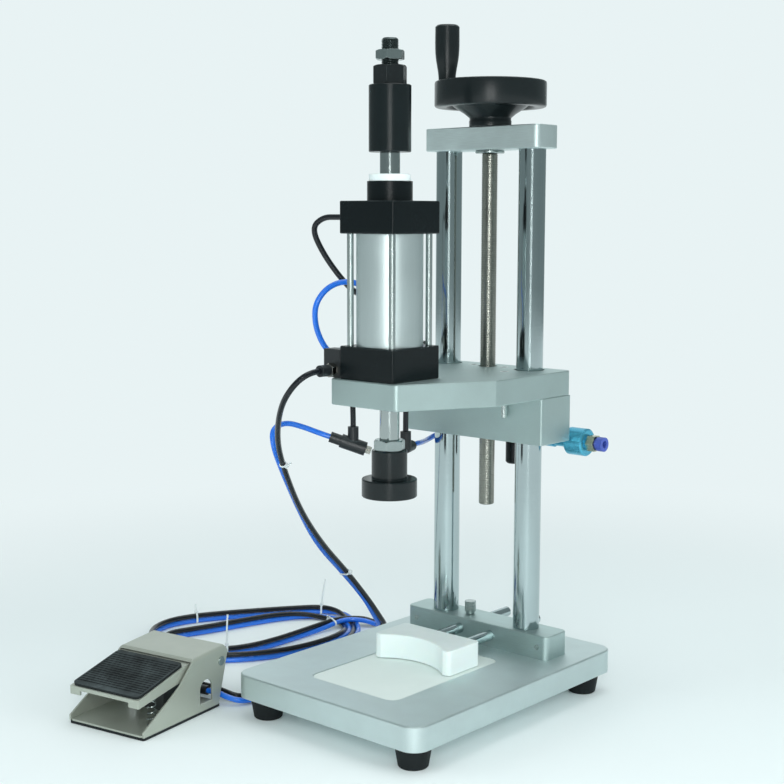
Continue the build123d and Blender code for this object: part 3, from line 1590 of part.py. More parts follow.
# Loose floor coil of both lines, as one closed ring
coil_plane = Plane((coil_x, coil_y, 0), x_dir=(cos(radians(coil_turn)), sin(radians(coil_turn)), 0), z_dir=(0, 0, 1))
with BuildPart() as hose_coil:
    with BuildSketch(coil_plane):
        with BuildLine():
            Spline(*coil_outside, periodic=True)
        make_face()
        with BuildLine():
            Spline(*coil_inside, periodic=True)
        make_face(mode=Mode.SUBTRACT)
    extrude(amount=4 * hose_radius)
finish(hose_coil, "hose_coil")
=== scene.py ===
import bpy
import bmesh
import numpy as np
from mathutils import Matrix


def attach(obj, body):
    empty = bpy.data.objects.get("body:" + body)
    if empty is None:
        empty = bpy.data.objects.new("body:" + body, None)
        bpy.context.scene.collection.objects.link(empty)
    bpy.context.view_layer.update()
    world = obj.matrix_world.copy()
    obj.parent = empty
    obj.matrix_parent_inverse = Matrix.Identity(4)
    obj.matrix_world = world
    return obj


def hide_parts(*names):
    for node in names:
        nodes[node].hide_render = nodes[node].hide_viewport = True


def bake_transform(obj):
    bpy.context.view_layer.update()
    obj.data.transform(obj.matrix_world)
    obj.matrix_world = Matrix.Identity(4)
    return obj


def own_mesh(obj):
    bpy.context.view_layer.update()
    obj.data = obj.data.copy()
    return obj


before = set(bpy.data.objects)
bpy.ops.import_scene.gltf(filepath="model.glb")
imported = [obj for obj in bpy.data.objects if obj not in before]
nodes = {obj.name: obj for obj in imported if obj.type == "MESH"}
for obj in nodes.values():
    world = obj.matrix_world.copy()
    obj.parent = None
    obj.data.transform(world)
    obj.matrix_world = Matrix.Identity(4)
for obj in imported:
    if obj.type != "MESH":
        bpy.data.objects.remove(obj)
scene = bpy.context.scene
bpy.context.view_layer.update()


# The studio: a pale table that sweeps up into its backdrop seven metres behind the press, under plain daylight, with
# a broad soft lamp on each side, one overhead, and one in front with a narrow strip light.
def node(tree, kind, settings=None, **inputs):
    """One shader node. settings are its own options; an input is a number, a colour, or an output to link, and _3 is
    its input 3."""
    made = tree.nodes.new("ShaderNode" + kind)
    for key, value in (settings or {}).items():
        setattr(made, key, value)
    for key, value in inputs.items():
        socket = made.inputs[int(key[1:])] if key[0] == "_" else made.inputs[key.replace("_", " ")]
        if isinstance(value, bpy.types.NodeSocket):
            tree.links.new(value, socket)
        else:
            socket.default_value = value
    return made


touching, sharp_angle = 1e-6, 38


def skin(name, *patches):
    """One mesh of patches (grid of points, seam step, wrapped): each cell of a grid is a four-sided face. On a wrapped
    patch the last column joins the first, some rows further on where the seam climbs a thread, and a fan closes each
    end row. A ring joins its last row to its first instead."""
    points, faces, start = [], [], 0
    for grid, step, around in patches:
        rows, columns = grid.shape[:2]
        index = start + np.arange(rows * columns).reshape(rows, columns)
        points.append(grid.reshape(-1, 3))
        start += rows * columns
        if around == "ring":
            index = np.hstack([index, index[:, :1]])
            index = np.vstack([index, index[:1]])
        elif around:
            index = np.hstack([index, index[np.minimum(np.arange(rows) + step, rows - 1), :1]])
            points.append(np.array([grid[0].mean(axis=0), grid[-1].mean(axis=0)]))
            first, last = np.full(columns, start), np.full(columns, start + 1)
            start += 2
            faces += np.stack([first, index[0, 1:], index[0, :-1]], axis=-1).tolist()
            faces += np.stack([last, index[-1, :-1], index[-1, 1:]], axis=-1).tolist()
        corners = [index[:-1, :-1], index[:-1, 1:], index[1:, 1:], index[1:, :-1]]
        faces += np.stack(corners, axis=-1).reshape(-1, 4).tolist()
    mesh = bpy.data.meshes.new(name)
    mesh.from_pydata(np.vstack(points).tolist(), [], faces)
    work = bmesh.new()
    work.from_mesh(mesh)
    bmesh.ops.remove_doubles(work, verts=work.verts, dist=touching)
    bmesh.ops.dissolve_degenerate(work, edges=work.edges, dist=touching / 10)
    work.to_mesh(mesh)
    work.free()
    mesh.shade_smooth()
    mesh.set_sharp_from_angle(angle=np.radians(sharp_angle))
    made = bpy.data.objects.new(name, mesh)
    scene.collection.objects.link(made)
    return made


# The table is flat, then a quarter round, then a wall: how far along it turns into how far back and how high.
pale = (0.81, 0.895, 0.905, 1)
flat_end, sweep_radius, sunk = 7, 2, 2e-4
yaw, dip, roll = np.radians([41.44, 7.18, 0.11])
heading = np.array([-np.sin(yaw), np.cos(yaw), 0.0])
level = np.array([np.cos(yaw), np.sin(yaw), 0.0])
steps_back = np.concatenate([np.linspace(-6, flat_end, 27), np.linspace(7.2, 14, 35)])
across, along = np.meshgrid(np.linspace(-9, 9, 25), steps_back)
run_up = np.maximum(along - flat_end, 0)
rise_angle = np.minimum(run_up / sweep_radius, np.pi / 2)
table_far = np.minimum(along, flat_end) + sweep_radius * np.sin(rise_angle)
table_high = sweep_radius * (1 - np.cos(rise_angle)) + np.maximum(run_up - sweep_radius * np.pi / 2, 0) - sunk
table = across[..., None] * level + table_far[..., None] * heading + table_high[..., None] * [0, 0, 1]
backdrop = skin("backdrop", (table, 0, False))
paper = bpy.data.materials.new("backdrop_paper")
paper.use_nodes = True
tree = paper.node_tree
fibre = node(tree, "TexNoise", None, Vector=node(tree, "TexCoord").outputs["Object"], Scale=1.3, Detail=2.0)
tones = {"_6": (0.84, 0.92, 0.928, 1), "_7": (0.89, 0.95, 0.955, 1)}
paper_tone = node(tree, "Mix", {"data_type": "RGBA"}, _0=fibre.outputs["Fac"], **tones)
surface = tree.nodes["Principled BSDF"]
tree.links.new(paper_tone.outputs[2], surface.inputs["Base Color"])
surface.inputs["Roughness"].default_value = 0.75
surface.inputs["Specular IOR Level"].default_value = 0.15


def pale_rays(tree):
    """The mask of rays that see the pale backdrop: camera, transmission and glossy rays, added and kept under one."""
    path = node(tree, "LightPath").outputs
    capped = {"operation": "ADD", "use_clamp": True}
    seen = node(tree, "Math", capped, _0=path["Is Camera Ray"], _1=path["Is Transmission Ray"]).outputs[0]
    return node(tree, "Math", capped, _0=seen, _1=path["Is Glossy Ray"]).outputs[0]


spot = node(tree, "TexCoord").outputs["Object"]
reach = node(tree, "VectorMath", {"operation": "LENGTH"}, _0=spot).outputs["Value"]
smooth = {"interpolation_type": "SMOOTHSTEP"}
far = node(tree, "MapRange", smooth, Value=reach, From_Min=0.4, From_Max=1.35).outputs[0]
glowing = node(tree, "Math", {"operation": "MULTIPLY"}, _0=pale_rays(tree), _1=far).outputs[0]
glow = node(tree, "Emission", None, Color=pale, Strength=1.0).outputs[0]
blend = node(tree, "MixShader", None, _0=glowing, _1=surface.outputs[0], _2=glow).outputs[0]
tree.links.new(blend, tree.nodes["Material Output"].inputs["Surface"])
backdrop.data.materials.append(paper)

# The room round the table is grey and dim, so that polished metal shows dark sides beside the pale backdrop. It is
# part of a sphere, by turn and climb, open towards the backdrop, and only reflections see it.
room_radius = 5.2
turn, climb = np.meshgrid(np.radians(np.linspace(-150, 150, 41)), np.radians(np.linspace(-2, 90, 16)))
outwards = np.sin(turn)[..., None] * level - np.cos(turn)[..., None] * heading
room = room_radius * (np.cos(climb)[..., None] * outwards + np.sin(climb)[..., None] * [0, 0, 1])
dome = skin("dim_room", (room, 0, False))
shaded = bpy.data.materials.new("dim_plaster")
shaded.use_nodes = True
tree = shaded.node_tree
plaster = node(tree, "TexNoise", None, Vector=node(tree, "TexCoord").outputs["Object"], Scale=0.5).outputs["Fac"]
greys = {"_6": (0.20, 0.245, 0.25, 1), "_7": (0.30, 0.355, 0.36, 1)}
grey = node(tree, "Mix", {"data_type": "RGBA"}, _0=plaster, **greys).outputs[2]
glow = node(tree, "Emission", None, Color=grey, Strength=1.0).outputs[0]
tree.links.new(glow, tree.nodes["Material Output"].inputs["Surface"])
dome.data.materials.append(shaded)
dome.visible_camera = dome.visible_diffuse = dome.visible_shadow = dome.visible_transmission = False

world = bpy.data.worlds.new("daylight")
world.use_nodes = True
scene.world = world
tree = world.node_tree
sky = node(tree, "Mix", {"data_type": "RGBA"}, _0=pale_rays(tree), _6=(0.46, 0.50, 0.505, 1), _7=pale)
tree.links.new(sky.outputs[2], tree.nodes["Background"].inputs["Color"])

for name, place, aim, width, tall, watts in [
    ("soft_lamp_left", (-1.9, -2.4, 1.5), (0, 0, 0.2), 1.8, 1.8, 24),
    ("soft_lamp_right", (2.6, 0.6, 1.2), (0, 0, 0.2), 1.8, 1.8, 26),
    ("soft_lamp_top", (0.3, 0.3, 3.0), (0, 0, 0.0), 2.2, 2.2, 20),
    ("soft_lamp_front", (1.00, -1.20, 0.56), (0, 0, 0.50), 0.40, 0.90, 3),
    ("camera_flash", (1.00, -1.20, 0.56), (0, 0, 0.50), 0.07, 0.90, 10),
]:
    lamp = bpy.data.lights.new(name, "AREA")
    lamp.shape, lamp.size, lamp.size_y = "RECTANGLE", width, tall
    lamp.energy, lamp.color = watts, (0.97, 1.0, 0.995)
    lamp_object = bpy.data.objects.new(name, lamp)
    back = np.array(place) - np.array(aim)
    back /= np.linalg.norm(back)
    side = np.cross([0, 0, 1], back)
    side /= np.linalg.norm(side)
    turned = np.column_stack([side, np.cross(back, side), back, place])
    lamp_object.matrix_world = Matrix(np.vstack([turned, [0, 0, 0, 1]]).tolist())
    lamp_object.visible_camera = False
    lamp_object.visible_glossy = name in ("camera_flash", "soft_lamp_top")
    scene.collection.objects.link(lamp_object)

# The camera stands where the photograph was taken: a 64 mm lens, 41 degrees round to the right of the press,
# half a metre up and tipped seven degrees down.
ahead = heading * np.cos(dip) - np.array([0, 0, np.sin(dip)])
overhead = np.cross(level, ahead)
camera = bpy.data.objects.new("camera", bpy.data.cameras.new("camera"))
camera.data.lens, camera.data.sensor_width = 64.17, 36
camera.data.clip_start, camera.data.clip_end = 0.05, 40
turned = np.column_stack([
    np.cos(roll) * level + np.sin(roll) * overhead,
    np.cos(roll) * overhead - np.sin(roll) * level,
    -ahead,
    (0.96845, -1.16103, 0.54141),
])
camera.matrix_world = Matrix(np.vstack([turned, [0, 0, 0, 1]]).tolist())
scene.collection.objects.link(camera)
scene.camera = camera
scene.view_settings.view_transform = "Standard"


# The base: a machined aluminium plate with rounded corners, bead blasted and clear anodised, on four rubber feet that
# are screwed to it. A pale resin pad lies in the middle, where the bottle stands.
def group(name, inputs, outputs):
    """A new shader node group: its tree, the sockets that come in and the sockets that go out."""
    tree = bpy.data.node_groups.new(name, "ShaderNodeTree")
    for socket, value in inputs.items():
        kind = "Float" if isinstance(value, float) else "Vector" if len(value) == 3 else "Color"
        tree.interface.new_socket(socket, in_out="INPUT", socket_type="NodeSocket" + kind).default_value = value
    for socket, kind in outputs.items():
        tree.interface.new_socket(socket, in_out="OUTPUT", socket_type="NodeSocket" + kind)
    return tree, tree.nodes.new("NodeGroupInput").outputs, tree.nodes.new("NodeGroupOutput").inputs


def send(tree, **links):
    """Links each named output of a group's tree to its socket."""
    for key, value in links.items():
        tree.links.new(value, tree.nodes["Group Output"].inputs[key])


# The metal faces share one effect: grain drawn out along the axes by its scales, a slow cloud of tone, and edges worn
# bright where the rounded normal leaves the flat one.
tree, given, out = group(
    "metal_face",
    {"Colour": (0.5, 0.5, 0.5, 1), "Edge": (0.8, 0.85, 0.85, 1), "Grain": (900.0, 900.0, 900.0), "Contrast": 0.2,
     "Roughness": 0.4, "Depth": 0.2, "Corner": 0.0008, "Wear": 0.6},
    {"Colour": "Color", "Roughness": "Float", "Normal": "Vector"},
)
spot = node(tree, "TexCoord").outputs["Object"]
drawn = node(tree, "Mapping", None, Vector=spot, Scale=given["Grain"])
fine = node(tree, "TexNoise", None, Vector=drawn.outputs[0], Scale=1.0, Detail=3.0, Roughness=0.6).outputs["Fac"]
cloud = node(tree, "TexNoise", None, Vector=spot, Scale=22.0, Detail=3.0).outputs["Fac"]
both = node(tree, "Math", {"operation": "ADD"}, _0=fine, _1=cloud).outputs[0]
centred = node(tree, "Math", {"operation": "SUBTRACT"}, _0=both, _1=1.0).outputs[0]
shade = node(tree, "Math", {"operation": "MULTIPLY_ADD"}, _0=centred, _1=given["Contrast"], _2=1.0).outputs[0]
toned = node(tree, "VectorMath", {"operation": "SCALE"}, Vector=given["Colour"], Scale=shade).outputs[0]
eased = node(tree, "Bevel", {"samples": 4}, Radius=given["Corner"]).outputs[0]
flat = node(tree, "NewGeometry").outputs["Normal"]
lean = node(tree, "VectorMath", {"operation": "DOT_PRODUCT"}, _0=eased, _1=flat).outputs["Value"]
rim = node(tree, "MapRange", None, Value=lean, From_Min=0.995, From_Max=0.80, To_Min=0.0, To_Max=1.0).outputs[0]
patchy = node(tree, "MapRange", None, Value=cloud, From_Min=0.35, From_Max=0.6).outputs[0]
worn = node(tree, "Math", {"operation": "MULTIPLY"}, _0=rim, _1=patchy).outputs[0]
worn = node(tree, "Math", {"operation": "MULTIPLY"}, _0=worn, _1=given["Wear"]).outputs[0]
edged = node(tree, "Mix", {"data_type": "RGBA"}, _0=worn, _6=toned, _7=given["Edge"]).outputs[2]
polish = node(tree, "Math", {"operation": "MULTIPLY_ADD"}, _0=centred, _1=0.25, _2=1.0).outputs[0]
rough = node(tree, "Math", {"operation": "MULTIPLY"}, _0=polish, _1=given["Roughness"]).outputs[0]
bumped = node(tree, "Bump", None, Strength=given["Depth"], Distance=0.0002, Height=fine, Normal=eased).outputs[0]
send(tree, Colour=edged, Roughness=rough, Normal=bumped)

# The moulded faces share another: fine pebbling, a little settled dust on whatever faces up, and slightly rubbed
# edges.
tree, given, out = group(
    "plastic_face",
    {"Colour": (0.5, 0.5, 0.5, 1), "Rubbed": (0.2, 0.2, 0.2, 1), "Dust": (0.5, 0.55, 0.55, 1), "Pebble": 1500.0,
     "Depth": 0.2, "Roughness": 0.4, "Corner": 0.0006, "Wear": 0.3, "Dusty": 0.1},
    {"Colour": "Color", "Roughness": "Float", "Normal": "Vector"},
)
spot = node(tree, "TexCoord").outputs["Object"]
pebble = node(tree, "TexNoise", None, Vector=spot, Scale=given["Pebble"], Detail=2.0).outputs["Fac"]
cloud = node(tree, "TexNoise", None, Vector=spot, Scale=35.0, Detail=4.0, Roughness=0.65).outputs["Fac"]
eased = node(tree, "Bevel", {"samples": 4}, Radius=given["Corner"]).outputs[0]
flat = node(tree, "NewGeometry").outputs["Normal"]
lean = node(tree, "VectorMath", {"operation": "DOT_PRODUCT"}, _0=eased, _1=flat).outputs["Value"]
rim = node(tree, "MapRange", None, Value=lean, From_Min=0.995, From_Max=0.80).outputs[0]
worn = node(tree, "Math", {"operation": "MULTIPLY"}, _0=rim, _1=given["Wear"]).outputs[0]
upward = node(tree, "SeparateXYZ", None, Vector=flat).outputs["Z"]
lying = node(tree, "MapRange", None, Value=upward, From_Min=0.3, From_Max=0.95).outputs[0]
speck = node(tree, "MapRange", None, Value=cloud, From_Min=0.35, From_Max=0.75).outputs[0]
dusted = node(tree, "Math", {"operation": "MULTIPLY"}, _0=lying, _1=speck).outputs[0]
dusted = node(tree, "Math", {"operation": "MULTIPLY"}, _0=dusted, _1=given["Dusty"]).outputs[0]
edged = node(tree, "Mix", {"data_type": "RGBA"}, _0=worn, _6=given["Colour"], _7=given["Rubbed"]).outputs[2]
coated = node(tree, "Mix", {"data_type": "RGBA"}, _0=dusted, _6=edged, _7=given["Dust"]).outputs[2]
rough = node(tree, "Math", {"operation": "MULTIPLY_ADD"}, _0=cloud, _1=0.16, _2=given["Roughness"]).outputs[0]
rough = node(tree, "Math", {"operation": "ADD", "use_clamp": True}, _0=rough, _1=dusted).outputs[0]
bumped = node(tree, "Bump", None, Strength=given["Depth"], Distance=0.0002, Height=pebble, Normal=eased).outputs[0]
send(tree, Colour=coated, Roughness=rough, Normal=bumped)


def finish(name, face, shader, pieces=(), **values):
    """A material on a named face group with its own values and the shader's plain numbers on its sockets, given to
    these pieces."""
    material = bpy.data.materials.new(name)
    material.use_nodes = True
    tree = material.node_tree
    surface = tree.nodes["Principled BSDF"]
    for key, value in shader.items():
        surface.inputs[key].default_value = value
    effect = tree.nodes.new("ShaderNodeGroup")
    effect.node_tree = bpy.data.node_groups[face]
    for key, value in values.items():
        effect.inputs[key].default_value = value
    for key, socket in {"Colour": "Base Color", "Roughness": "Roughness", "Normal": "Normal"}.items():
        tree.links.new(effect.outputs[key], surface.inputs[socket])
    for piece in pieces:
        for place in nodes[piece].material_slots:
            place.material = material
    return material


# The base's colour is the carriage's blasted finish drawn lighter: painted light, standing for the bounce from the
# pale table under it.
finish("blasted_base_painted_bounce_light", "metal_face", {"Metallic": 1.0}, ["base_plate"], Colour=(0.69, 0.785, 0.785, 1),
       Grain=(1600, 1600, 1600), Contrast=0.22, Roughness=0.56, Depth=0.35, Corner=0.0012, Wear=0.5)
finish("resin_pad", "plastic_face", {}, ["bottle_pad"], Colour=(0.735, 0.83, 0.795, 1),
       Rubbed=(0.72, 0.80, 0.77, 1), Pebble=260.0, Depth=0.12, Roughness=0.30, Dusty=0.25,
       Dust=(0.75, 0.82, 0.80, 1))
finish("rubber_foot", "plastic_face", {"Specular IOR Level": 0.25}, ["rubber_feet"],
       Colour=(0.006, 0.009, 0.010, 1), Rubbed=(0.03, 0.035, 0.035, 1), Pebble=900.0, Depth=0.35, Roughness=0.55,
       Dusty=0.3)

# The upright frame: two ground and hard-chromed columns, clamped in sawn aluminium blocks at the foot and at the top,
# with cap screws through the blocks and a bronze bush for the screw.
# Both blocks are the same sawn aluminium in two colours: the foot block darker as painted shade, the top block lighter
# as painted light.
finish("foot_block_painted_shade", "metal_face", {"Metallic": 1.0}, ["column_block"], Colour=(0.56, 0.68, 0.67, 1),
       Grain=(60, 1900, 1900), Contrast=0.35, Roughness=0.50, Depth=0.3, Corner=0.0010, Wear=0.7)
finish("top_block_painted_light", "metal_face", {"Metallic": 1.0}, ["top_block"], Colour=(0.76, 0.86, 0.855, 1),
       Grain=(60, 1900, 1900), Contrast=0.30, Roughness=0.54, Depth=0.3, Corner=0.0010, Wear=0.7)
finish("ground_chrome", "metal_face", {"Metallic": 1.0}, ["columns", "guide_rods"], Colour=(0.45, 0.53, 0.54, 1),
       Grain=(30, 30, 2600), Contrast=0.10, Roughness=0.12, Depth=0.06, Corner=0.0008)
finish("zinc_screw", "metal_face", {"Metallic": 1.0}, ["frame_screws", "thumb_screw", "screw_collar", "crank_pin",
       "plate_bolts", "tie_rods", "pedal_pin", "foot_plunger"], Colour=(0.50, 0.56, 0.55, 1),
       Grain=(700, 700, 2200), Contrast=0.25, Roughness=0.26, Depth=0.25, Corner=0.0004)
finish("bearing_bronze", "metal_face", {"Metallic": 1.0}, ["screw_bush", "carriage_bushes"],
       Colour=(0.50, 0.36, 0.18, 1), Edge=(0.75, 0.6, 0.4, 1), Grain=(300, 300, 2400), Contrast=0.3, Roughness=0.38,
       Depth=0.2)

# The bottle stop: a milled white nylon block with a round notch, sliding on two chromed rods in the column block and
# held by a thumb screw.
finish("milled_nylon", "plastic_face", {"Subsurface Weight": 0.08}, ["locating_block"],
       Colour=(0.76, 0.85, 0.84, 1), Rubbed=(0.78, 0.86, 0.85, 1), Pebble=420.0, Depth=0.2, Roughness=0.42,
       Dusty=0.2, Dust=(0.55, 0.62, 0.62, 1))


# The feed: an 18 mm steel screw with a fine two-start thread, 4 mm a turn, oiled and darkened, hung in a collar under
# the top block. The wheel and its free-turning crank handle are glossy black bakelite, the handle on a steel pin.
def threaded(axis, bottom, top, crest, root, pitch, profile, cone, around=32):
    """Grid of a threaded rod and its seam step: radius by angle and turn, where height climbs one pitch a turn, the
    profile's share of each pitch gives crest or root, and a cone at each end trims both down to cone."""
    turns = int(np.ceil((top - bottom) / pitch)) + 2
    share = (np.arange(turns)[:, None] + np.array([place for place, _ in profile])).ravel()
    radius = np.tile([root + (crest - root) * rise for _, rise in profile], turns)
    angle = np.arange(around) / around * 2 * np.pi
    height = bottom + (share[:, None] - 1 + angle / (2 * np.pi)) * pitch
    height = np.clip(height, bottom, top)
    radius = np.minimum(radius[:, None], cone + np.minimum(height - bottom, top - height))
    spots = np.stack([axis[0] + radius * np.cos(angle), axis[1] + radius * np.sin(angle), height], axis=-1)
    return spots, len(profile), True


def rings(axis, profile, around=48, flats=()):
    """Grid of a turned piece: radius by angle along a profile of (height, radius), cut back to a half width along Y
    on the rows that flats gives."""
    height, radius = np.array(profile).T
    angle = np.arange(around) / around * 2 * np.pi
    radius = np.repeat(radius[:, None], around, axis=1)
    for row, half in flats:
        radius[row] = np.minimum(radius[row], half / np.maximum(np.abs(np.sin(angle)), 1e-6))
    spots = np.stack([axis[0] + radius * np.cos(angle), axis[1] + radius * np.sin(angle),
                      np.repeat(height[:, None], around, axis=1)], axis=-1)
    return spots, 0, True


screw_axis, screw_foot, screw_shoulder = (0, 0.101), 0.212, 0.611
screw_crest, screw_root, screw_lead, screw_chamfer = 0.0089, 0.0083, 0.004, 0.0078
two_starts = [(0, 1), (0.24, 1), (0.30, 0), (0.44, 0), (0.5, 1), (0.74, 1), (0.80, 0), (0.94, 0)]
journal = [(0.6100, 0.0065), (0.6778, 0.0065), (0.6788, 0.0055)]
thread = threaded(screw_axis, screw_foot, screw_shoulder, screw_crest, screw_root, screw_lead, two_starts,
                  screw_chamfer, 36)
feed = skin("two_start_screw", thread, rings(screw_axis, journal))
feed.data.materials.append(finish(
    "oiled_screw", "metal_face", {"Metallic": 1.0}, Colour=(0.38, 0.385, 0.345, 1), Edge=(0.55, 0.58, 0.56, 1),
    Grain=(400, 400, 900), Contrast=0.5, Roughness=0.30, Depth=0.2, Corner=0.0003, Wear=0.8))
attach(feed, "feed_screw")
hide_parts("lead_screw")

# The wheel's profile runs up its hub, out along the flared web, round the rim and back in over the dished top.
hub = [(0.6403, 0.0229), (0.6408, 0.0236), (0.6465, 0.0238), (0.6475, 0.0232), (0.6500, 0.0234)]
flare = [(0.6545, 0.0288), (0.6605, 0.0385), (0.6655, 0.0452), (0.6662, 0.0476)]
rim_foot = [(0.6624, 0.0490), (0.6615, 0.0502), (0.6615, 0.0602), (0.6623, 0.0618)]
rim_wall = [(0.6639, 0.0625), (0.6879, 0.0625)]
rim_top = [(0.6895, 0.0619), (0.6903, 0.0603), (0.6903, 0.0500), (0.6898, 0.0484), (0.6882, 0.0475)]
dish = [(0.6765, 0.0469), (0.6750, 0.0455), (0.6742, 0.0300), (0.6742, 0.0200)]
boss = [(0.6750, 0.0182), (0.6790, 0.0178), (0.6798, 0.0170), (0.6798, 0.0070)]
wheel = skin("bakelite_wheel", rings(screw_axis, hub + flare + rim_foot + rim_wall + rim_top + dish + boss, 96))
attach(wheel, "feed_screw")
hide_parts("handwheel")
wheel.data.materials.append(finish(
    "black_bakelite", "plastic_face", {"Coat Weight": 0.15, "Coat Roughness": 0.12, "Specular IOR Level": 0.3},
    ["crank_handle"], Colour=(0.007, 0.011, 0.012, 1), Rubbed=(0.03, 0.04, 0.04, 1), Pebble=160.0, Depth=0.05,
    Roughness=0.22, Corner=0.0015, Dusty=0.10, Dust=(0.30, 0.36, 0.37, 1)))

# The carriage: a bored block on the columns and a plate with a tapered nose bolted over it, both milled aluminium,
# blasted and clear anodised.
# The carriage's colour is the base's blasted finish drawn darker: painted shade, for the bounce light that reaches the
# base and not the carriage.
finish("blasted_carriage_painted_shade", "metal_face", {"Metallic": 1.0}, ["carriage_block", "carriage_plate"],
       Colour=(0.555, 0.67, 0.66, 1), Grain=(1500, 1500, 1500), Contrast=0.22, Roughness=0.56, Depth=0.35,
       Corner=0.0012, Wear=0.6)

# The cylinder: a drawn and anodised aluminium barrel between two square black-anodised caps, pulled together by four
# zinc-plated tie rods, with a white plastic bumper on the neck.
finish("drawn_barrel", "metal_face", {"Metallic": 1.0}, ["cylinder_barrel", "piston", "valve_body"],
       Colour=(0.64, 0.72, 0.72, 1), Grain=(1800, 1800, 40), Contrast=0.12, Roughness=0.47, Depth=0.15,
       Corner=0.0006)
finish("black_anodised", "metal_face", {"Metallic": 0.0, "Specular IOR Level": 0.22}, ["cylinder_bottom_cap",
       "cylinder_top_cap", "inlet_manifold"], Colour=(0.0035, 0.0065, 0.0075, 1), Edge=(0.30, 0.36, 0.37, 1),
       Grain=(1400, 1400, 1400), Contrast=0.3, Roughness=0.26, Depth=0.3, Corner=0.0009, Wear=0.35)
finish("white_bumper", "plastic_face", {"Subsurface Weight": 0.05}, ["bumper_ring"], Colour=(0.78, 0.86, 0.86, 1),
       Rubbed=(0.85, 0.9, 0.9, 1), Pebble=600.0, Depth=0.1, Roughness=0.35, Dusty=0.1)

# The press rod: a chromed piston rod that comes out at both ends. Its lower end has the head's thread and two flats
# for a spanner, its upper end the thread of the stop sleeve and nuts, which set the depth of the stroke.
rod_axis, rod_pitch, rod_flat, thread_start = (0, -0.068), 0.0015, 0.0085, 0.6066
vee = [(0, 1), (0.10, 1), (0.50, 0), (0.60, 0)]
flatted = [(0.3064, 0.0098), (0.3071, 0.0105), (0.3200, 0.0105), (0.3218, 0.0105)]
shank = [(0.3219, 0.0105), (0.6059, 0.0105), (thread_start, 0.0098)]
press = skin(
    "chromed_press_rod",
    threaded(rod_axis, 0.2718, 0.3072, 0.0070, 0.0062, rod_pitch, vee, 0.0058),
    rings(rod_axis, flatted + shank, 64, [(row, rod_flat) for row in range(len(flatted))]),
    threaded(rod_axis, 0.6060, 0.7217, 0.0090, 0.0080, rod_pitch, vee, 0.0072),
)
press.data.materials.append(finish(
    "rod_chrome_face", "metal_face", {"Metallic": 1.0}, Colour=(0.42, 0.47, 0.465, 1), Grain=(60, 60, 2600),
    Contrast=0.12, Roughness=0.16, Depth=0.06, Corner=0.0003, Wear=0.3))
press.data.materials.append(finish(
    "dark_thread", "metal_face", {"Metallic": 1.0}, Colour=(0.15, 0.18, 0.18, 1), Edge=(0.45, 0.5, 0.5, 1),
    Grain=(500, 500, 900), Contrast=0.4, Roughness=0.28, Depth=0.2, Corner=0.0003, Wear=0.6))
middles = np.empty(3 * len(press.data.polygons))
press.data.polygons.foreach_get("center", middles)
press.data.polygons.foreach_set("material_index", (middles[2::3] > thread_start).astype(np.int32))
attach(press, "press_rod")
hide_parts("piston_rod")
finish("turned_black", "metal_face", {"Metallic": 0.0, "Specular IOR Level": 0.4}, ["stop_sleeve", "press_head"],
       Colour=(0.005, 0.009, 0.010, 1), Edge=(0.16, 0.20, 0.21, 1), Grain=(80, 80, 2400), Contrast=0.5,
       Roughness=0.20, Depth=0.25, Corner=0.0008, Wear=0.35)
finish("black_oxide_nut", "metal_face", {"Metallic": 0.0, "Specular IOR Level": 0.5}, ["adjusting_nut"],
       Colour=(0.008, 0.011, 0.012, 1), Edge=(0.25, 0.29, 0.29, 1), Grain=(900, 900, 900), Contrast=0.5,
       Roughness=0.22, Depth=0.3, Corner=0.0006, Wear=0.6)
finish("zinc_nut", "metal_face", {"Metallic": 1.0}, ["lock_nuts"], Colour=(0.40, 0.46, 0.455, 1),
       Grain=(900, 900, 900), Contrast=0.3, Roughness=0.24, Depth=0.25, Corner=0.0005, Wear=0.6)

# The air valve and fittings: an aluminium pilot valve with moulded end caps, nickel-plated push-in fittings with black
# release collars, a flow control with a knurled needle, and a blue hand valve with a brass inlet.
finish("moulded_fitting", "plastic_face", {}, ["valve_end_caps", "fitting_collars", "hose_joints",
       "pedal_fittings"], Colour=(0.012, 0.015, 0.017, 1), Rubbed=(0.06, 0.07, 0.07, 1), Pebble=900.0, Depth=0.2,
       Roughness=0.28, Corner=0.0005, Dusty=0.12)
finish("nickel_plate", "metal_face", {"Metallic": 1.0}, ["fitting_hexes", "flow_needle"],
       Colour=(0.52, 0.50, 0.45, 1), Grain=(900, 900, 900), Contrast=0.25, Roughness=0.22, Depth=0.2, Corner=0.0004)
finish("brass_fitting", "metal_face", {"Metallic": 1.0}, ["inlet_fitting"], Colour=(0.55, 0.55, 0.42, 1),
       Edge=(0.8, 0.78, 0.6, 1), Grain=(1200, 500, 500), Contrast=0.3, Roughness=0.22, Depth=0.25, Corner=0.0004)
finish("blue_anodised", "metal_face", {"Metallic": 0.75}, ["slide_valve", "slide_sleeve"],
       Colour=(0.09, 0.43, 0.61, 1), Edge=(0.25, 0.5, 0.65, 1), Grain=(1800, 400, 400), Contrast=0.35,
       Roughness=0.26, Depth=0.4, Corner=0.0006, Wear=0.5)
finish("release_plastic", "plastic_face", {}, ["release_ring"], Colour=(0.05, 0.09, 0.42, 1),
       Rubbed=(0.15, 0.25, 0.6, 1), Pebble=900.0, Depth=0.1, Roughness=0.3)


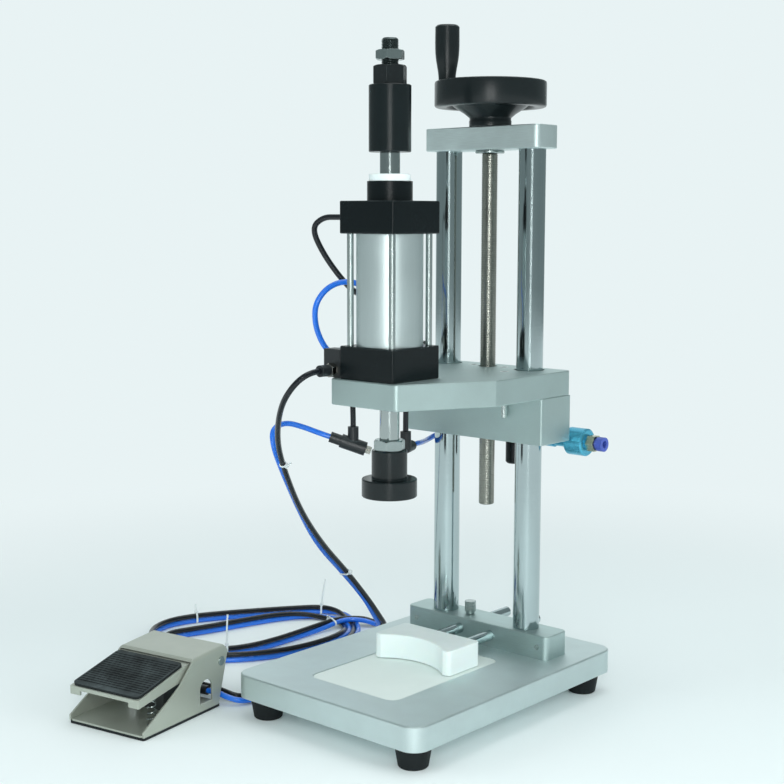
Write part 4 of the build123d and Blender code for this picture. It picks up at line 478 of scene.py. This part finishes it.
# The short hoses on the carriage: 6 mm polyurethane tube pushed into the fittings, black or blue, stiff enough to
# spring into smooth bows between them.
def hose_line(name, points, material, radius=0.0032):
    """A tube along one open NURBS spline of order 3 with these control points, held at both ends."""
    curve = bpy.data.curves.new(name, "CURVE")
    curve.dimensions = "3D"
    curve.bevel_depth, curve.bevel_resolution, curve.resolution_u = radius, 5, 10
    curve.use_fill_caps = True
    spline = curve.splines.new("NURBS")
    spline.points.add(len(points) - 1)
    spline.points.foreach_set("co", np.column_stack([points, np.ones(len(points))]).ravel())
    spline.order_u, spline.use_endpoint_u = 3, True
    curve.materials.append(material)
    made = bpy.data.objects.new(name, curve)
    scene.collection.objects.link(made)
    return made


black_tube = finish(
    "black_hose", "plastic_face", {"Coat Weight": 0.3, "Coat Roughness": 0.05, "Specular IOR Level": 0.3},
    Colour=(0.005, 0.007, 0.010, 1), Rubbed=(0.03, 0.035, 0.04, 1), Pebble=60.0, Depth=0.03, Roughness=0.16,
    Wear=0.0, Dusty=0.04)
blue_tube = finish(
    "blue_hose", "plastic_face", {"Coat Weight": 0.5, "Coat Roughness": 0.06}, Colour=(0.012, 0.16, 0.74, 1),
    Rubbed=(0.03, 0.2, 0.7, 1), Pebble=60.0, Depth=0.03, Roughness=0.16, Wear=0.0, Dusty=0.04)

for name, slot, tube, length, points in [
    ("top_hose", "hose_black", black_tube, 0.199, [
        (-0.0585, -0.068, 0.5401), (-0.0735, -0.068, 0.5401), (-0.096, -0.069, 0.540), (-0.113, -0.069, 0.528),
        (-0.109, -0.056, 0.501), (-0.097, -0.040, 0.473), (-0.084, -0.028, 0.455), (-0.064, -0.023, 0.455),
        (-0.0525, -0.020, 0.4379), (-0.0525, -0.020, 0.4229)]),
    ("loop_hose", "hose_blue", blue_tube, 0.254, [
        (-0.085, -0.054, 0.3899), (-0.100, -0.054, 0.3899), (-0.107, -0.062, 0.405), (-0.108, -0.070, 0.425),
        (-0.104, -0.073, 0.447), (-0.096, -0.061, 0.465), (-0.088, -0.040, 0.471), (-0.077, -0.019, 0.464),
        (-0.055, -0.008, 0.452), (-0.028, -0.009, 0.449), (-0.007, -0.015, 0.440), (0.0, -0.0185, 0.4232),
        (0.0, -0.0185, 0.4082)]),
    ("supply_hose", "hose_black", black_tube, 0.108, [
        (-0.108, -0.0085, 0.303), (-0.108, -0.0085, 0.318), (-0.110, -0.008, 0.338), (-0.114, -0.011, 0.361),
        (-0.114, -0.014, 0.379), (-0.100, -0.016, 0.3899), (-0.085, -0.016, 0.3899)]),
    ("return_hose", "hose_black", black_tube, 0.074, [
        (-0.057, 0.024, 0.299), (-0.057, 0.024, 0.314), (-0.056, 0.0235, 0.330), (-0.053, 0.0223, 0.348),
        (-0.0525, 0.022, 0.358), (-0.0525, 0.022, 0.373)]),
    ("inlet_hose", "hose_blue", blue_tube, 0.167, [
        (-0.0635, 0.0419, 0.280), (-0.0686, 0.056, 0.280), (-0.077, 0.076, 0.278), (-0.088, 0.099, 0.277),
        (-0.092, 0.122, 0.281), (-0.080, 0.140, 0.288), (-0.057, 0.144, 0.295), (-0.036, 0.143, 0.296),
        (-0.021, 0.143, 0.296)]),
]:
    hose = hose_line(name + "_tube", points, tube)
    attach(hose, "carriage")
    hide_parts(name)

# The long pair: one black and one blue hose run from the carriage down to the floor, round beside the
# press, a little over two loose turns, and out to the pedal's valve. Side by side they lie flat, and where they lean
# the black one rides on top.
falls = {
    "black": [
        (-0.050, -0.122, 0.380), (-0.050, -0.137, 0.380), (-0.061, -0.150, 0.367), (-0.088, -0.143, 0.341),
        (-0.126, -0.112, 0.299), (-0.150, -0.079, 0.260), (-0.182, -0.021, 0.197), (-0.203, 0.038, 0.142),
        (-0.213, 0.092, 0.096), (-0.216, 0.136, 0.050), (-0.216, 0.156, 0.025), (-0.219, 0.171, 0.009),
        (-0.231, 0.181, 0.0036), (-0.247, 0.179, 0.0055), (-0.260, 0.171, 0.0096)],
    "blue": [
        (-0.1279, -0.0259, 0.2913), (-0.1386, -0.0352, 0.2962), (-0.146, -0.052, 0.304), (-0.151, -0.074, 0.311),
        (-0.150, -0.096, 0.306), (-0.144, -0.100, 0.287), (-0.155, -0.077, 0.257), (-0.187, -0.018, 0.196),
        (-0.210, 0.036, 0.141), (-0.220, 0.092, 0.094), (-0.2225, 0.136, 0.050), (-0.2225, 0.153, 0.025),
        (-0.225, 0.167, 0.009), (-0.238, 0.174, 0.0044), (-0.254, 0.166, 0.0092)],
}
tails = {
    "black": [
        (-0.225, 0.020, 0.0040), (-0.214, -0.016, 0.0032), (-0.203, -0.050, 0.0032), (-0.188, -0.082, 0.0032),
        (-0.171, -0.108, 0.0032), (-0.160, -0.126, 0.0034), (-0.164, -0.141, 0.0060), (-0.180, -0.146, 0.0100),
        (-0.2001, -0.1482, 0.0115), (-0.2148, -0.1508, 0.0115)],
    "blue": [
        (-0.217, 0.024, 0.0040), (-0.207, -0.012, 0.0032), (-0.196, -0.046, 0.0032), (-0.181, -0.078, 0.0032),
        (-0.162, -0.105, 0.0032), (-0.148, -0.127, 0.0034), (-0.150, -0.147, 0.0050), (-0.163, -0.156, 0.0090),
        (-0.1761, -0.1572, 0.0115), (-0.1909, -0.1598, 0.0115)],
}
# Each point of the coil in millimetres along it, across it and up, and how far the pair leans there, from 0 to 1.
turns = np.array([(118, -37, 9.8, 0), (88, -52, 7.5, 0.6), (50, -72, 6.5, 1), (12, -94, 6.5, 1),
    (-27, -110, 6.5, 1), (-62, -111, 6.5, 1), (-94, -97, 6.5, 1), (-116, -70, 6.5, 1), (-122, -42, 6.5, 1),
    (-110, -20, 6.5, 1), (-82, -14, 6.5, 1), (-44, -7, 6.5, 1), (0, 4, 6.5, 1), (45, 13, 6.5, 1),
    (82, 11, 5.8, 0.5), (108, -2, 3.3, 0), (121, -26, 3.3, 0), (120, -56, 3.3, 0), (108, -86, 5.8, 0.5),
    (80, -112, 6.5, 1), (46, -129, 6.5, 1), (8, -140, 6.5, 1), (-32, -141, 6.5, 1), (-72, -133, 6.5, 1),
    (-106, -110, 6.5, 1), (-130, -72, 6.5, 1), (-136, -32, 6.5, 1), (-126, 8, 6.5, 1), (-98, 36, 6.5, 1),
    (-60, 45, 6.5, 1), (-15, 44, 6.5, 1), (30, 40, 6.5, 1), (75, 35, 6.5, 1), (112, 28, 6.6, 0.9),
    (131, 12, 5.4, 0.4), (136, -14, 3.3, 0), (134, -47, 3.3, 0), (124, -80, 3.3, 0), (104, -110, 3.3, 0),
    (76, -136, 3.3, 0), (38, -153, 3.3, 0)]) * [0.001, 0.001, 0.001, 1]
coil_middle, side_by_side = (-0.365, 0.062), 0.0033
way, cross = np.radians(62), np.radians(152)
middle = np.column_stack([
    coil_middle[0] + turns[:, 0] * np.cos(way) + turns[:, 1] * np.cos(cross),
    coil_middle[1] + turns[:, 0] * np.sin(way) + turns[:, 1] * np.sin(cross),
    turns[:, 2]])
travel = np.gradient(middle[:, :2], axis=0)
travel /= np.linalg.norm(travel, axis=1)[:, None]
lean = turns[:, 3] * np.pi / 2
apart = side_by_side * np.column_stack([travel[:, 1] * np.cos(lean), -travel[:, 0] * np.cos(lean), np.sin(lean)])
followed = {}
for colour, tube, side in [("black", black_tube, 1), ("blue", blue_tube, -1)]:
    guide = hose_line(colour + "_guide", np.vstack([falls[colour], middle + side * apart, tails[colour]]), tube)
    line = bpy.data.objects.new(colour + "_long_hose", bpy.data.meshes.new_from_object(guide))
    scene.collection.objects.link(line)
    guide.data.bevel_depth = 0
    wire = bpy.data.meshes.new_from_object(guide)
    followed[colour] = np.array([point.co for point in wire.vertices])
    bpy.data.objects.remove(guide)
    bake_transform(line)
    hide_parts(colour + "_line", "hose_coil")


# The ties: white nylon cable ties pulled round the pair, each a flat strap with its square head, and its tail left
# long. Where the pair lies on the floor, the strap lies flat under it.
tie_radius, tie_floor = 0.0038, 0.0006
strap_size, head_size, tail_size = (0.0026, 0.0011), (0.0044, 0.0036), (0.0022, 0.0010)


def strap(line, broad, deep, wide, thick):
    """Grid of a flat strap: a rounded rectangle, wide by thick, carried along a line with its own two side
    directions. The rectangle is a circle with its cosine and sine raised to the power 0.4."""
    angle = np.arange(12) / 12 * 2 * np.pi
    flat = np.sign(np.cos(angle)) * np.abs(np.cos(angle)) ** 0.4 * wide / 2
    high = np.sign(np.sin(angle)) * np.abs(np.sin(angle)) ** 0.4 * thick / 2
    return line[:, None] + flat[None, :, None] * broad[:, None] + high[None, :, None] * deep[:, None]


tie_nylon = finish(
    "tie_nylon", "plastic_face", {"Subsurface Weight": 0.05}, Colour=(0.74, 0.80, 0.80, 1),
    Rubbed=(0.8, 0.85, 0.85, 1), Pebble=500.0, Depth=0.05, Roughness=0.35, Dusty=0.1)

# Each tie: where it is, whether it holds both hoses (1) or the black one (0), whether it hangs in the air, and how its
# tail curls away from the head, as the three points of a quadratic curve.
ties = []
for name, near, pair, aloft, tail in [
    ("black_line_tie", (-0.146, -0.084, 0.266), 0, True, [(0, 0, 0), (0.003, 0.001, 0.002), (0.006, 0.001, 0.004)]),
    ("falling_pair_tie", (-0.212, 0.090, 0.098), 1, True, [(0, 0, 0), (-0.004, -0.002, 0.002), (-0.008, -0.003, 0.003)]),
    ("far_coil_tie", (-0.337, 0.174, 0.006), 1, False, [(0, 0, 0), (0.001, 0.001, 0.015), (0.004, 0.003, 0.035)]),
    ("near_coil_tie", (-0.277, 0.131, 0.009), 1, False, [(0, 0, 0), (0.003, -0.003, 0.004), (0.004, -0.007, 0.006)]),
    ("left_coil_tie", (-0.433, 0.029, 0.006), 1, False, [(0, 0, 0), (-0.003, 0.001, 0.004), (-0.005, 0.003, 0.009)]),
    ("front_coil_tie", (-0.294, -0.041, 0.006), 1, False, [(0, 0, 0), (0, 0, 0.018), (0.001, 0.001, 0.038)]),
]:
    at = np.argmin(np.linalg.norm(followed["black"] - near, axis=1))
    black_at = followed["black"][at]
    blue_at = followed["blue"][np.argmin(np.linalg.norm(followed["blue"] - black_at, axis=1))]
    run = followed["black"][at + 1] - followed["black"][at - 1]
    run /= np.linalg.norm(run)
    over = black_at - blue_at - run * np.dot(black_at - blue_at, run)
    half_gap = np.linalg.norm(over) / 2 * pair
    over /= np.linalg.norm(over)
    out_way = np.cross(run, over)
    about = np.arange(40) / 40 * 2 * np.pi
    lift = np.cos(about)[:, None] * over + np.sin(about)[:, None] * out_way
    held_at = (black_at + blue_at) / 2 * pair + black_at * (1 - pair)
    loop = held_at + half_gap * np.sign(np.cos(about))[:, None] * over + tie_radius * lift
    loop[:, 2] = np.maximum(loop[:, 2], tie_floor)
    head_at = loop[0] + 0.0014 * over
    head = head_at + np.linspace(-0.0024, 0.0024, 5)[:, None] * out_way
    curl = np.array(tail)
    share = np.linspace(0, 1, 14)[:, None]
    free = head_at + (1 - share) ** 2 * curl[0] + 2 * share * (1 - share) * curl[1] + share ** 2 * curl[2]
    ahead_way = np.gradient(free, axis=0)
    ahead_way /= np.linalg.norm(ahead_way, axis=1)[:, None]
    thin = np.cross(ahead_way, run)
    thin /= np.linalg.norm(thin, axis=1)[:, None]
    tie = skin(
        name,
        (strap(loop, np.tile(run, (40, 1)), lift, *strap_size), 0, "ring"),
        (strap(head, np.tile(run, (5, 1)), np.tile(over, (5, 1)), *head_size), 0, True),
        (strap(free, np.cross(thin, ahead_way), thin, *tail_size), 0, True),
    )
    tie.data.materials.append(tie_nylon)
    if aloft:
        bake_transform(tie)
    else:
        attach(tie, "base")
    ties.append(tie)
for colour, length, held in [("black", 2.32, ties), ("blue", 2.27, [])]:
    points = followed[colour]

# The pedal: a pressed steel treadle and housing in pale metallic enamel over a five-way valve, on a rubber mat. The
# treadle turns on a pin at the back against a wire spring and carries a ribbed rubber pad.
finish("metallic_enamel", "plastic_face", {"Metallic": 0.45, "Coat Weight": 0.35, "Coat Roughness": 0.15},
       ["pedal_base", "pedal_housing", "pedal_plate"], Colour=(0.41, 0.445, 0.385, 1), Rubbed=(0.6, 0.63, 0.58, 1),
       Pebble=700.0, Depth=0.12, Roughness=0.30, Corner=0.0008, Wear=0.5, Dusty=0.12)
finish("ribbed_rubber", "plastic_face", {"Specular IOR Level": 0.3}, ["pedal_pad", "pedal_mat"],
       Colour=(0.008, 0.012, 0.013, 1), Rubbed=(0.05, 0.06, 0.06, 1), Pebble=700.0, Depth=0.4, Roughness=0.5,
       Dusty=0.35, Dust=(0.2, 0.25, 0.26, 1))
finish("dark_valve", "metal_face", {"Metallic": 0.6}, ["foot_valve"], Colour=(0.08, 0.09, 0.09, 1),
       Edge=(0.3, 0.33, 0.33, 1), Grain=(1200, 1200, 1200), Contrast=0.3, Roughness=0.35, Depth=0.3)

# The return spring is wire round a helix: angle grows evenly along it, and height too, but for the flat end coils.
# It stands under the treadle's front, fixed to the base at its rest height; the real one is squeezed to half its
# height as the treadle goes down.
spring_at, spring_foot, spring_height, spring_radius = (-0.165, -0.2608), 0.0054, 0.0396, 0.0045
coils, wire, end_share, end_rise = 7.5, 0.0007, 0.08, 0.0008
sweep = np.linspace(0, 1, 340)
rise = np.clip((sweep - end_share) / (1 - 2 * end_share), 0, 1)
climb = spring_foot + spring_height * rise + end_rise * np.sin(sweep * np.pi)
about = sweep * coils * 2 * np.pi
around = np.arange(8) / 8 * 2 * np.pi
outward = np.stack([np.cos(about), np.sin(about), 0 * about], axis=-1)
helix = outward * spring_radius + np.stack([0 * about + spring_at[0], 0 * about + spring_at[1], climb], axis=-1)
tangent = np.gradient(helix, axis=0)
tangent /= np.linalg.norm(tangent, axis=1)[:, None]
binormal = np.cross(tangent, outward)
ring_ways = np.cos(around)[None, :, None] * outward[:, None] + np.sin(around)[None, :, None] * binormal[:, None]
coil = helix[:, None] + wire * ring_ways
spring = skin("return_spring", (coil, 0, True))
spring.data.materials.append(bpy.data.materials["zinc_screw"])
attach(spring, "base")
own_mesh(spring)
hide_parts("pedal_spring")
